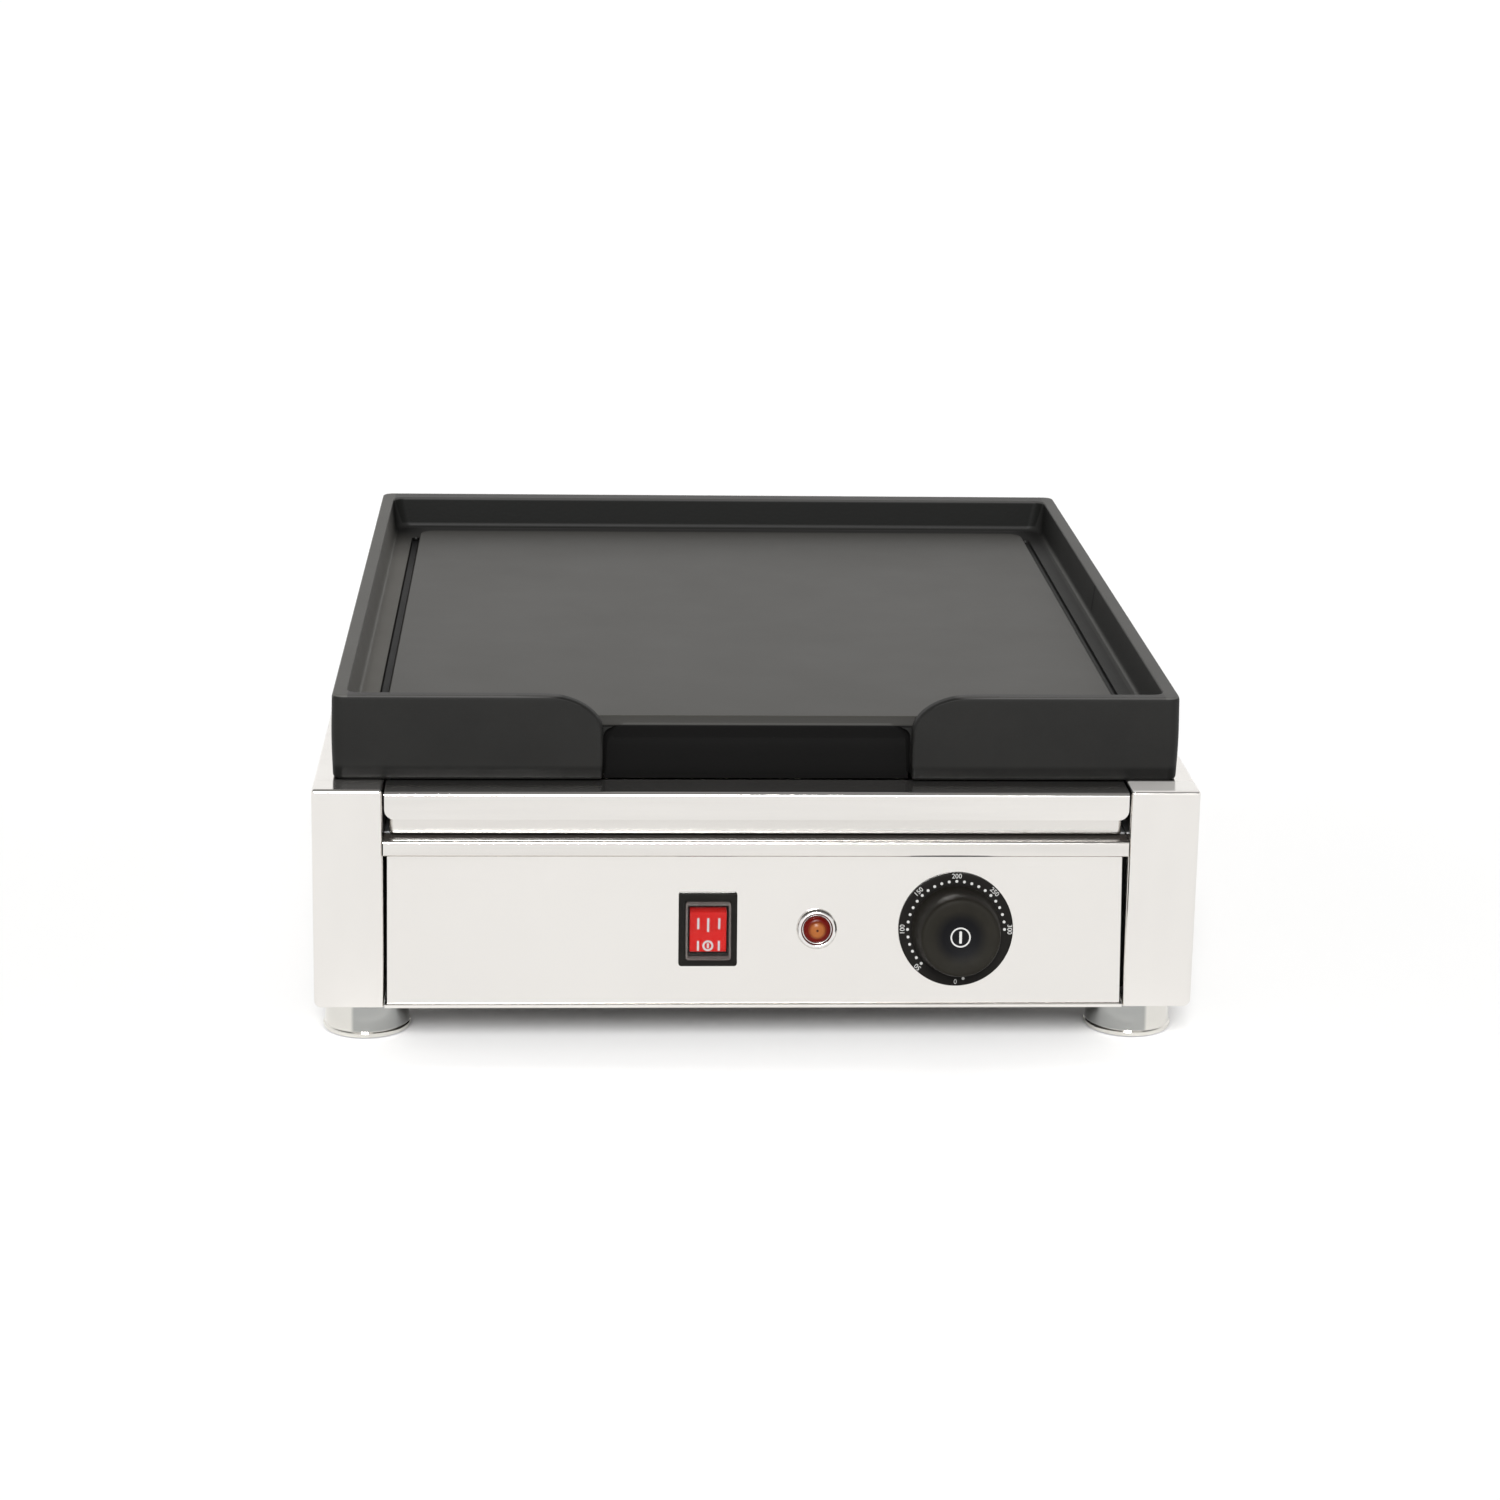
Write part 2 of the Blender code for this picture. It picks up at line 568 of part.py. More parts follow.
def make_heat_shield(body):
    """A stepped sheet over the tray and the wiring space, and the fibre blanket that lies on it."""
    back = BACK_SKIN - GAP
    path = [(0.040, 0.1282), (SHIELD_STEP, 0.1282), (SHIELD_STEP, SHIELD_Z), (back, SHIELD_Z), (back, 0.1030)]
    sheet = prism(folded(path, 0.0016, 0.0008), -0.1665, 0.1665, "X")
    shield = add("heat_shield", sheet, GALVANISED, body)
    holes = [round_hole(x, 0.422, SHIELD_Z - 0.003, SHIELD_Z + 0.002, 0.0060)
             for x in (-0.155, -0.035, 0.035, 0.155)]
    holes.append(round_hole(0.0, 0.186, SHIELD_Z - 0.003, SHIELD_Z + 0.002, 0.0040))
    holes += [screw_hole(x, REAR_SCREW_ZS[1]) for x in (-REAR_SCREW_X, REAR_SCREW_X)]
    carve(shield, "shield_holes", holes, body)

    outline = rectangle(-0.150, 0.196, 0.150, 0.408, 0.008)
    blanket = prism(outline, SHIELD_Z + GAP, 0.1274, "Z")
    add("insulation_blanket", blanket, FIBRE, body)


# Grease tray

def make_tray_rails(body):
    """Angle rails on the columns that carry the tray."""
    top = TRAY_BOTTOM - GAP
    for side, word in ((-1, "left"), (1, "right")):
        wall, inner, foot = side * (COLUMN_INNER - GAP), side * 0.1560, top - 0.0062
        outline = [(wall, foot), (wall, top), (inner, top), (inner, top - SHEET),
                   (wall - side * SHEET, top - SHEET), (wall - side * SHEET, foot)]
        add("tray_rail_" + word, prism(outline, 0.0135, SHIELD_STEP - 0.004, "Y"), GALVANISED, body)


def make_tray(body):
    """The pan that catches the grease, and the handle strip welded along its front."""
    half, front, back = TRAY_HALF_WIDTH, TRAY_FRONT, TRAY_BACK
    rings = [(half - 0.0014, front + 0.0014, back - 0.0014, 0.0010, TRAY_BOTTOM),
             (half - 0.0004, front + 0.0004, back - 0.0004, 0.0018, TRAY_BOTTOM + 0.0004),
             (half, front, back, 0.0022, TRAY_BOTTOM + 0.0014),
             (half, front, back, 0.0022, TRAY_RIM),
             (half - SHEET, front + SHEET, back - SHEET, 0.0012, TRAY_RIM),
             (half - SHEET, front + SHEET, back - SHEET, 0.0012, TRAY_BOTTOM + 0.0018),
             (half - 0.0016, front + 0.0016, back - 0.0016, 0.0008, TRAY_BOTTOM + SHEET)]
    add("grease_tray", loft([plate_ring(*ring) for ring in rings]), STAINLESS, body)

    corner = 0.0045
    stations = []
    for step in range(5):
        angle = math.radians(90) * step / 4
        x = HANDLE_HALF_WIDTH - corner + corner * math.cos(angle)
        stations.append((x, HANDLE_LIP + corner - corner * math.sin(angle)))
    stations += [(-x, lip) for x, lip in stations[::-1]]
    rings = []
    for x, lip in stations:
        path = [(0.0, lip), (0.0, HANDLE_TOP), (0.0200, HANDLE_TOP)]
        rings.append(ring_at(folded(path, 0.0022, SHEET, 4), x, "X"))
    add("tray_handle", loft(rings), STAINLESS, body)


# Controls

def make_switch(panel):
    """A rocker switch: housing with its bezel, the rocker on its pivot, and a clear splash cover."""
    def ring(half_x, half_y, radius, z):
        return ring_at(rectangle(-half_x, -half_y, half_x, half_y, radius, 2), z, "Z")

    housing = [ring(0.0104, 0.0144, 0.001, -0.0240), ring(0.0107, 0.0147, 0.001, -0.0230),
               ring(0.0108, 0.0148, 0.001, GAP), ring(0.0133, 0.0169, 0.0022, GAP),
               ring(0.0133, 0.0169, 0.0022, 0.0014), ring(0.0126, 0.0162, 0.0016, 0.0024),
               ring(0.0087, 0.0105, 0.0006, 0.0024), ring(0.0087, 0.0105, 0.0006, -0.0076)]
    add("switch_housing", loft(housing), BLACK_PLASTIC, panel, (SWITCH_X, 0, 0))

    arc_radius, top_angle, low_angle = 0.0102, math.radians(20), math.radians(-25)
    angles = [low_angle + (top_angle - low_angle) * step / 4 for step in range(5)]
    upper_end = [(arc_radius * math.cos(angle), arc_radius * math.sin(angle)) for angle in angles]
    profile = upper_end + [(0.0045, 0.0028), (0.0, 0.0024), (-0.0045, 0.0028)]
    profile += [(-y, z) for y, z in upper_end[::-1]] + [(-0.0050, -0.0055), (0.0050, -0.0055)]
    pressed = Matrix.Rotation(math.radians(12), 2)
    outline = [pressed @ Vector(point) for point in profile]
    add("switch_rocker", prism(outline, -0.0084, 0.0084, "X"), RED_PLASTIC, panel, (SWITCH_X, 0, 0.0005))

    cover = [ring(0.0091, 0.01185, 0.0008, 0.0076), ring(0.0094, 0.01215, 0.0008, 0.0070),
             ring(0.0094, 0.01215, 0.0008, 0.0027), ring(0.0102, 0.01295, 0.0012, 0.0027),
             ring(0.0102, 0.01295, 0.0012, 0.0074), ring(0.0099, 0.01265, 0.0011, 0.0081),
             ring(0.0092, 0.01195, 0.0010, 0.0084)]
    add("switch_cover", loft(cover), CLEAR, panel, (SWITCH_X, 0, 0))


def make_pilot_lamp(panel):
    """A pilot lamp: body with a chromed ring, a domed lens, and the nut behind the panel."""
    body = [(0, -0.0220), (0.0050, -0.0220), (0.0060, -0.0210), (0.0060, GAP), (0.00925, GAP),
            (0.00925, 0.0011), (0.0086, 0.0021), (0.0074, 0.0026), (0.0067, 0.0022), (0.0067, 0.0010),
            (0, 0.0010)]
    add("pilot_body", turned(body, 20), CHROME, panel, (PILOT_X, 0, 0))
    lens = [(0, 0.0013), (0.0063, 0.0013), (0.0063, 0.0022), (0.0056, 0.0037), (0.0036, 0.0048), (0, 0.0052)]
    add("pilot_lens", turned(lens, 16), AMBER_LENS, panel, (PILOT_X, 0, 0))
    nut = [(0.0073, -0.0048), (0.0096, -0.0048), (0.0096, -0.0014), (0.0073, -0.0014)]
    add("pilot_nut", turned(nut, 6, True), BLACK_PLASTIC, panel, (PILOT_X, 0, 0))


def make_thermostat(panel, knob_axis):
    """The thermostat behind the panel, its dial and screws, and the knob that turns with the shaft."""
    def ring(half_x, half_y, z):
        return ring_at(rectangle(-half_x, -half_y, half_x, half_y, 0.002, 2), z, "Z")

    case = [ring(0.0185, 0.0150, -0.0340), ring(0.0190, 0.0155, -0.0330), ring(0.0190, 0.0155, -0.0060),
            ring(0.0080, 0.0080, -0.0058), ring(0.0080, 0.0080, -0.0030), ring(0.0200, 0.0090, -0.0028),
            ring(0.0200, 0.0090, -0.0013)]
    thermostat = add("thermostat_body", loft(case), GALVANISED, panel, (KNOB_X, 0, 0))
    holes = [round_hole(KNOB_X, 0, -0.0140, 0.002, BOLT_RADIUS + GAP, 16)]
    holes += [round_hole(KNOB_X + side * 0.014, 0, -0.0045, 0.002, 0.0023, 8) for side in (-1, 1)]
    carve(thermostat, "thermostat_holes", holes, panel)

    dial = [(0.0040, GAP), (0.0262, GAP), (0.0262, 0.0012), (0.0256, 0.0018), (0.0040, 0.0018)]
    disc = add("thermostat_dial", turned(dial, 32, True), BLACK_PLASTIC, panel, (KNOB_X, 0, 0))
    carve(disc, "dial_holes",
          [round_hole(KNOB_X + side * 0.014, 0, -0.002, 0.004, 0.0023, 8) for side in (-1, 1)], panel)
    screw = [(0, -0.0040), (0.0019, -0.0040), (0.0019, 0.0021),
             (0.0035, 0.0021), (0.0032, 0.0032), (0, 0.0038)]
    first = add("thermostat_screw_1", turned(screw, 10), ZINC, panel, (KNOB_X - 0.014, 0, 0))
    copy_of(first, "thermostat_screw_2", (KNOB_X + 0.014, 0, 0))

    shaft = [(0, -0.0130), (BOLT_RADIUS, -0.0130), (BOLT_RADIUS, 0.0150), (0, 0.0150)]
    add("thermostat_shaft", turned(shaft, 12), ZINC, knob_axis)
    knob = [(0, 0.0155), (0.0034, 0.0155), (0.0034, 0.0042), (0.0056, 0.0042), (0.0056, 0.0140),
            (0.0168, 0.0140), (0.0186, 0.0024), (0.0205, 0.0024), (0.0204, 0.0050), (0.0190, 0.0120),
            (0.0182, 0.0190), (KNOB_TOP_RADIUS, KNOB_HEIGHT - 0.0006),
            (KNOB_TOP_RADIUS - 0.0010, KNOB_HEIGHT),
            (0.0145, KNOB_HEIGHT - 0.0002), (0.0100, KNOB_HEIGHT - 0.0014), (0, KNOB_HEIGHT - 0.0020)]
    add("thermostat_knob", turned(knob, 28), BLACK_PLASTIC, knob_axis)


# Wiring

def make_gland(body):
    """The cable gland in the rear panel: its body, the cap outside and the locknut inside."""
    spot = (GLAND_X, BODY_DEPTH, GLAND_Z)
    facing_back = (math.radians(-90), 0, 0)
    gland = [(0.0045, -0.0110), (0.0078, -0.0110), (0.0078, GAP), (0.0110, GAP), (0.0110, 0.0050),
             (0.0080, 0.0050), (0.0080, 0.0078), (0.0045, 0.0078)]
    add("cable_gland", turned(gland, 16, True), BLACK_PLASTIC, body, spot, facing_back)
    cap = [(0.0084, 0.0054), (0.0103, 0.0054), (0.0103, 0.0110), (0.0086, 0.0142), (0.0072, GLAND_REACH),
           (0.0048, GLAND_REACH), (0.0048, 0.0082), (0.0084, 0.0082)]
    add("gland_cap", turned(cap, 16, True), BLACK_PLASTIC, body, spot, facing_back)
    nut = [(0.0094, -0.0064), (0.0122, -0.0064), (0.0122, -0.0014), (0.0094, -0.0014)]
    add("gland_locknut", turned(nut, 6, True), BLACK_PLASTIC, body, spot, facing_back)


def make_wiring(body):
    """The terminal block, the thermostat's capillary with its bulb, and the wires."""
    floor = BASE_Z + SHEET + GAP
    left, right = -0.1280, -0.0820
    outline = [(left, floor), (right, floor), (right, floor + 0.016)]
    for pole in range(3):
        edge = right - 0.003 - pole * 0.0145
        outline += [(edge, floor + 0.016), (edge, floor + 0.011), (edge - 0.0110, floor + 0.011),
                    (edge - 0.0110, floor + 0.016)]
    outline += [(left, floor + 0.016)]
    add("terminal_block", prism(outline, 0.392, 0.414, "Y"), CREAM_PLASTIC, body)

    bulb_z = SLAB_BOTTOM - 2 * GAP - 0.0030
    bulb = [(0.0, 0.285, bulb_z), (0.0, 0.283, bulb_z), (0.0, 0.210, bulb_z), (0.0, 0.208, bulb_z)]
    line = smooth_route([(0.0, 0.204, bulb_z), (0.0, 0.194, bulb_z - 0.003), (0.0, 0.187, 0.1300),
                         (0.0, 0.186, 0.1190), (0.002, 0.184, 0.1050), (0.030, 0.150, 0.0900),
                         (0.070, 0.090, 0.0780), (KNOB_X, 0.044, 0.0700)])
    add_tube("thermostat_capillary", bulb + line, 0.0012, COPPER, body, 6, (1.8, 2.5, 2.5, 1.2))

    block_top = floor + 0.0115
    element_end = 0.1054
    switch_back = CONTROL_DEPTH + 0.0252
    wires = {
        "wire_supply": (WIRE_BROWN, [
            (-0.0930, 0.403, block_top), (-0.0930, 0.400, 0.056), (-0.088, 0.360, 0.066),
            (-0.070, 0.200, 0.070), (-0.040, 0.090, 0.064),
            (SWITCH_X - 0.004, switch_back + 0.012, 0.0600), (SWITCH_X - 0.004, switch_back, 0.0595)]),
        "wire_thermostat": (WIRE_BROWN, [
            (SWITCH_X + 0.005, switch_back, 0.0560), (SWITCH_X + 0.008, switch_back + 0.014, 0.0545),
            (0.020, 0.062, 0.0480), (0.060, 0.064, 0.0480), (0.0830, 0.056, 0.0520),
            (0.0850, CONTROL_DEPTH + 0.0360, 0.0540)]),
        "wire_element": (WIRE_WHITE, [
            (0.0980, CONTROL_DEPTH + 0.0362, 0.0560), (0.102, 0.056, 0.0560), (0.120, 0.140, 0.0640),
            (0.146, 0.300, 0.0700), (0.154, 0.400, 0.0760), (0.155, 0.422, 0.0900),
            (0.155, 0.422, element_end)]),
        "wire_link": (WIRE_WHITE, [
            (0.035, 0.422, element_end), (0.035, 0.421, 0.0960), (0.020, 0.416, 0.0860),
            (0.0, 0.414, 0.0830), (-0.020, 0.416, 0.0860), (-0.035, 0.421, 0.0960),
            (-0.035, 0.422, element_end)]),
        "wire_neutral": (WIRE_BLUE, [
            (-0.1220, 0.403, block_top), (-0.1230, 0.402, 0.056), (-0.134, 0.406, 0.074),
            (-0.150, 0.418, 0.088), (-0.155, 0.422, 0.0960), (-0.155, 0.422, element_end)]),
        "wire_pilot": (WIRE_BLUE, [
            (-0.1075, 0.403, block_top), (-0.1070, 0.396, 0.052), (-0.094, 0.350, 0.050),
            (-0.040, 0.200, 0.046), (0.010, 0.090, 0.054), (PILOT_X, CONTROL_DEPTH + 0.0320, 0.0590),
            (PILOT_X, CONTROL_DEPTH + 0.0226, 0.0588)]),
    }
    for name, (look, knots) in wires.items():
        add_tube(name, smooth_route(knots), 0.0015, look, body, 6)


def main():
    for thing in list(bpy.data.objects):
        bpy.data.objects.remove(thing)
    body = empty("body_frame", (0.0, FRONT_Y, 0.0))
    panel = empty("panel_frame", (0.0, CONTROL_DEPTH, CONTROL_Z), body, math.radians(90) - PANEL_TILT)
    knob_axis = empty("knob_axis", (KNOB_X, 0.0, 0.0), panel)

    make_columns(body)
    make_base_plate(body)
    make_rear_panel(body)
    make_front_bar(body)
    make_control_panel(body, panel)
    make_feet(body)
    make_griddle_plate(body)
    make_plate_bolts(body)
    make_elements(body)
    make_heat_shield(body)
    make_tray_rails(body)
    make_tray(body)
    make_switch(panel)
    make_pilot_lamp(panel)
    make_thermostat(panel, knob_axis)
    make_gland(body)
    make_wiring(body)


main()
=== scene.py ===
"""Looks for the countertop electric griddle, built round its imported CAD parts.

Shapes are drawn as in the CAD: body parts as (x, depth, z), with depth measured back from the front plane
of the columns, and panel parts as (x, up the panel, out of the panel) round the middle of the controls.
"""
from math import atan2, cos, pi, radians, sin, tan, tau

import bmesh
import bpy
from mathutils import Matrix, Vector


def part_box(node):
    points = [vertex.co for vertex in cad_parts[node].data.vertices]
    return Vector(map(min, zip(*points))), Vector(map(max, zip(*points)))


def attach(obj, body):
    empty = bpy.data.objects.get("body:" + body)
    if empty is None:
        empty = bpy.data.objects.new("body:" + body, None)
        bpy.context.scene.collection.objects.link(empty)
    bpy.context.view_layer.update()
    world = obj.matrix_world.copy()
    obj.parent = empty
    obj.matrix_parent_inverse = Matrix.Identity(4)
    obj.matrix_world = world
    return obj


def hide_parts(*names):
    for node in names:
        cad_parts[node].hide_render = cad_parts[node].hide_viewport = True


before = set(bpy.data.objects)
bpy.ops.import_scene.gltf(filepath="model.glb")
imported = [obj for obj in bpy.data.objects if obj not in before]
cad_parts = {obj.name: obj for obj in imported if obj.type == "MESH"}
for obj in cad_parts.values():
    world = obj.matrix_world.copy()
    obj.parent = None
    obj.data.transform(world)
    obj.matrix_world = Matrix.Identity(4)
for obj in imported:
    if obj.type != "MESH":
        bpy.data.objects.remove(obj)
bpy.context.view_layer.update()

# Dimensions shared with the CAD, in metres. GAP is the clearance between neighbouring pieces.
GAP = 0.0003
SHEET = 0.001
FRONT_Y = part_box("side_column_left")[0].y
BODY_HALF_WIDTH = 0.2
BODY_DEPTH = 0.46
BASE_Z = 0.0256
COLUMN_TOP = 0.129
COLUMN_INNER = 0.1685
BAY_HALF_WIDTH = COLUMN_INNER - GAP
BACK_SKIN = BODY_DEPTH - SHEET
FOOT_X = 0.179
FOOT_DEPTHS = (0.048, BODY_DEPTH - 0.048)
STUD_RADIUS = 0.004
PLATE_BOTTOM = COLUMN_TOP + GAP
PLATE_TOP = 0.1685
PLATE_FRONT = 0.0148
PLATE_BACK = 0.4458
PLATE_HALF_WIDTH = 0.1923
GUTTER_Z = PLATE_TOP - 0.0168
GRIDDLE_Z = PLATE_TOP - 0.0132
GRIDDLE_HALF_WIDTH = 0.1683
SLAB_BOTTOM = 0.144
NOTCH_HALF_WIDTH = 0.07
NOTCH_DEPTH = 0.0276
PLATE_BOLT_X = 0.177
PLATE_BOLT_DEPTHS = (0.041, 0.431)
CLAMP_BOLT_X = 0.095
CLAMP_DEPTHS = (0.13, 0.33)
BOLT_RADIUS = 0.003
BAR_BOTTOM = 0.0976
BAR_TOP = 0.1051
PANEL_BOTTOM = 0.0278
PANEL_TOP = BAR_BOTTOM - GAP
PANEL_FOOT_DEPTH = 0.0006
PANEL_HEAD_DEPTH = 0.0105
PANEL_HALF_WIDTH = 0.167
CONTROL_Z = 0.0618
TRAY_FRONT = 0.008
TRAY_BACK = 0.1745
TRAY_HALF_WIDTH = 0.166
TRAY_BOTTOM = 0.1058
TRAY_RIM = 0.1265
HANDLE_TOP = 0.128
HANDLE_LIP = 0.1153
HANDLE_HALF_WIDTH = 0.1675
SWITCH_X = -0.0219
PILOT_X = 0.0277
KNOB_X = 0.0912
KNOB_HEIGHT = 0.022
GLAND_X = -0.11
GLAND_Z = 0.062
GLAND_REACH = 0.015
DIAL_SCREW_X = 0.014
DIAL_SCREW_HOLE = 0.0023
DIAL_FACE = 0.0018
BEZEL_FACE = 0.0024
REAR_SCREW_SPOTS = [(x, z) for x in (-0.12, 0.12) for z in (BASE_Z + 0.0075, 0.111)]
ROCKER_PRESS = radians(12)

# Looks: the casting seam's depth, and streaks along X in cycles per metre
SEAM_DEPTH = 0.233
STREAKS = (5, 120, 120)

PANEL_TILT = atan2(PANEL_HEAD_DEPTH - PANEL_FOOT_DEPTH, PANEL_TOP - PANEL_BOTTOM)
CONTROL_DEPTH = PANEL_FOOT_DEPTH + (CONTROL_Z - PANEL_BOTTOM) * tan(PANEL_TILT)

BODY = Matrix.Translation((0.0, FRONT_Y, 0.0))
PANEL = (BODY @ Matrix.Translation((0.0, CONTROL_DEPTH, CONTROL_Z))
         @ Matrix.Rotation(radians(90) - PANEL_TILT, 4, "X"))

# For a prism along an axis: where its outline's two numbers go, and then its level
AXES = {"X": (1, 2, 0), "Y": (0, 2, 1), "Z": (0, 1, 2)}


def on_panel(x):
    """The axes of a control on the panel."""
    return PANEL @ Matrix.Translation((x, 0, 0))


def on_back(x, z):
    """The axes of a fitting on the rear panel, with Z pointing backwards."""
    return BODY @ Matrix.Translation((x, BODY_DEPTH, z)) @ Matrix.Rotation(radians(-90), 4, "X")


# Outlines

def corner_arc(before, corner, after, radius, steps):
    """The points that round one corner of an outline."""
    corner = Vector(corner)
    if radius <= 0:
        return [corner]
    to_before = (Vector(before) - corner).normalized()
    to_after = (Vector(after) - corner).normalized()
    half = to_before.angle(to_after) / 2
    centre = corner + (to_before + to_after).normalized() * (radius / sin(half))
    start = corner + to_before * (radius / tan(half)) - centre
    turn = pi - 2 * half
    if to_before.x * to_after.y - to_before.y * to_after.x > 0:
        turn = -turn
    return [centre + Matrix.Rotation(turn * step / steps, 2) @ start for step in range(steps + 1)]


def rounded(corners, steps=8):
    """A closed outline from corners (u, v, radius)."""
    outline = []
    for index, (u, v, radius) in enumerate(corners):
        before = corners[index - 1][:2]
        after = corners[(index + 1) % len(corners)][:2]
        outline += corner_arc(before, (u, v), after, radius, steps)
    return outline


def rectangle(low_u, low_v, high_u, high_v, radius=0.0, steps=8):
    corners = [(low_u, low_v), (high_u, low_v), (high_u, high_v), (low_u, high_v)]
    return rounded([(u, v, radius) for u, v in corners], steps)


def circle(u, v, radius, steps=32):
    angles = [tau * step / steps for step in range(steps)]
    return [Vector((u + radius * cos(angle), v + radius * sin(angle))) for angle in angles]


def folded(path, bend, thickness=SHEET, steps=8):
    """The outline of a folded sheet. The path is its left face, and its bends have the outer radius bend."""
    points = [Vector(point) for point in path]
    ways = [(end - start).normalized() for start, end in zip(points, points[1:])]
    rights = [Vector((way.y, -way.x)) for way in ways]
    left = [points[0]]
    right = [points[0] + rights[0] * thickness]
    for index in range(1, len(points) - 1):
        mitre = rights[index - 1] + rights[index]
        inner = points[index] + mitre * (thickness / (1 + rights[index - 1].dot(rights[index])))
        turns_left = ways[index - 1].x * ways[index].y - ways[index - 1].y * ways[index].x > 0
        left_radius = bend - thickness if turns_left else bend
        right_radius = bend if turns_left else bend - thickness
        left += corner_arc(points[index - 1], points[index], points[index + 1], left_radius, steps)
        right += corner_arc(inner - ways[index - 1], inner, inner + ways[index], right_radius, steps)
    left.append(points[-1])
    right.append(points[-1] + rights[-1] * thickness)
    return left + right[::-1]


def softened(corners, steps=4):
    """A polyline with its corners eased. Each corner is its numbers and, last, how far the easing reaches."""
    values = [Vector(corner[:-1]) for corner in corners]
    line = []
    for index, corner in enumerate(corners):
        reach = corner[-1]
        here = values[index]
        if reach <= 0 or index in (0, len(corners) - 1):
            line.append(here)
            continue
        back = values[index - 1] - here
        ahead = values[index + 1] - here
        start = here + back * min(reach / back.length, 0.45)
        end = here + ahead * min(reach / ahead.length, 0.45)
        for step in range(steps + 1):
            t = step / steps
            line.append(start * (1 - t) ** 2 + here * (2 * t * (1 - t)) + end * t ** 2)
    return line


# Solids

def skin(solid, lower, upper):
    """Faces between two rings of vertices. A ring of one vertex is a tip."""
    count = max(len(lower), len(upper))
    for index in range(count):
        after = index + 1
        corners = [lower[index % len(lower)], lower[after % len(lower)],
                   upper[after % len(upper)], upper[index % len(upper)]]
        solid.faces.new(list(dict.fromkeys(corners)))


def loft(rings, closed=False):
    """A solid through rings of points. A closed loft joins the last ring to the first, round a bore."""
    solid = bmesh.new()
    loops = [[solid.verts.new(point) for point in ring] for ring in rings]
    for lower, upper in zip(loops, loops[1:]):
        skin(solid, lower, upper)
    if closed:
        skin(solid, loops[-1], loops[0])
    else:
        for loop in (loops[0], loops[-1]):
            if len(loop) > 2:
                solid.faces.new(loop)
    bmesh.ops.recalc_face_normals(solid, faces=solid.faces)
    return solid


def ring_at(outline, level, axis):
    """An outline in the two other axes, set at a level along the axis."""
    first, second, along = AXES[axis]
    ring = []
    for u, v in outline:
        point = [0.0, 0.0, 0.0]
        point[first] = u
        point[second] = v
        point[along] = level
        ring.append(point)
    return ring


def prism(outline, low, high, axis):
    return loft([ring_at(outline, low, axis), ring_at(outline, high, axis)])


def turned(profile, segments=64, closed=False, middle=(0.0, 0.0), wave=None):
    """A solid turned about Z from a profile of (radius, z). wave changes the radius with (angle, z)."""
    rings = []
    for radius, z in profile:
        ring = []
        for index in range(segments if radius else 1):
            angle = tau * index / segments
            reach = radius * (wave(angle, z) if wave else 1.0)
            ring.append((middle[0] + reach * cos(angle), middle[1] + reach * sin(angle), z))
        rings.append(ring)
    return loft(rings, closed)


def round_hole(x, y, low, high, radius, segments=32):
    return turned([(0, low), (radius, low), (radius, high), (0, high)], segments, middle=(x, y))


def gather(solids):
    """Several separate solids as one mesh."""
    whole = bmesh.new()
    for solid in solids:
        mesh = bpy.data.meshes.new("gathered")
        solid.to_mesh(mesh)
        solid.free()
        whole.from_mesh(mesh)
        bpy.data.meshes.remove(mesh)
    return whole


def carved(solid, cutter, operation="DIFFERENCE"):
    """The solid after one exact Boolean, as a new solid."""
    objects = []
    for part in (solid, cutter):
        mesh = bpy.data.meshes.new("carving")
        part.to_mesh(mesh)
        part.free()
        thing = bpy.data.objects.new("carving", mesh)
        bpy.context.collection.objects.link(thing)
        objects.append(thing)
    modifier = objects[0].modifiers.new("cut", "BOOLEAN")
    modifier.operation = operation
    modifier.solver = "EXACT"
    modifier.object = objects[1]
    result = bmesh.new()
    result.from_object(objects[0], bpy.context.evaluated_depsgraph_get())
    for thing in objects:
        mesh = thing.data
        bpy.data.objects.remove(thing)
        bpy.data.meshes.remove(mesh)
    return result


# Materials

def opened(material):
    """A material's shader, and the place on the object."""
    nodes = material.node_tree.nodes
    return nodes["Principled BSDF"], nodes.new("ShaderNodeTexCoord").outputs["Object"]


def graph(name):
    material = bpy.data.materials.new(name)
    material.use_nodes = True
    return material, *opened(material)


def feed(value, socket):
    """Link a socket to another, or set its value."""
    if isinstance(value, bpy.types.NodeSocket):
        socket.id_data.links.new(value, socket)
    else:
        socket.default_value = value


def node(tree, kind, settings=None, **inputs):
    """A node with its settings, and its inputs set or linked by name."""
    made = tree.nodes.new("ShaderNode" + kind)
    for key, value in (settings or {}).items():
        setattr(made, key, value)
    for key, value in inputs.items():
        feed(value, made.inputs[key.replace("_", " ")])
    return made


def maths(operation, *values):
    """The result of one Math node. The first value is a socket."""
    made = node(values[0].id_data, "Math", {"operation": operation})
    for value, socket in zip(values, made.inputs):
        feed(value, socket)
    return made.outputs[0]


def product(*factors):
    result = factors[0]
    for factor in factors[1:]:
        result = maths("MULTIPLY", result, factor)
    return result


def axes(place):
    """The x, y and z of a place."""
    return node(place.id_data, "SeparateXYZ", Vector=place).outputs


def axis_distance(place):
    """How far a place lies from the Z axis."""
    flat = node(place.id_data, "VectorMath", {"operation": "MULTIPLY"}, Vector=place)
    flat.inputs[1].default_value = (1.0, 1.0, 0.0)
    return node(place.id_data, "VectorMath", {"operation": "LENGTH"}, Vector=flat.outputs[0]).outputs["Value"]


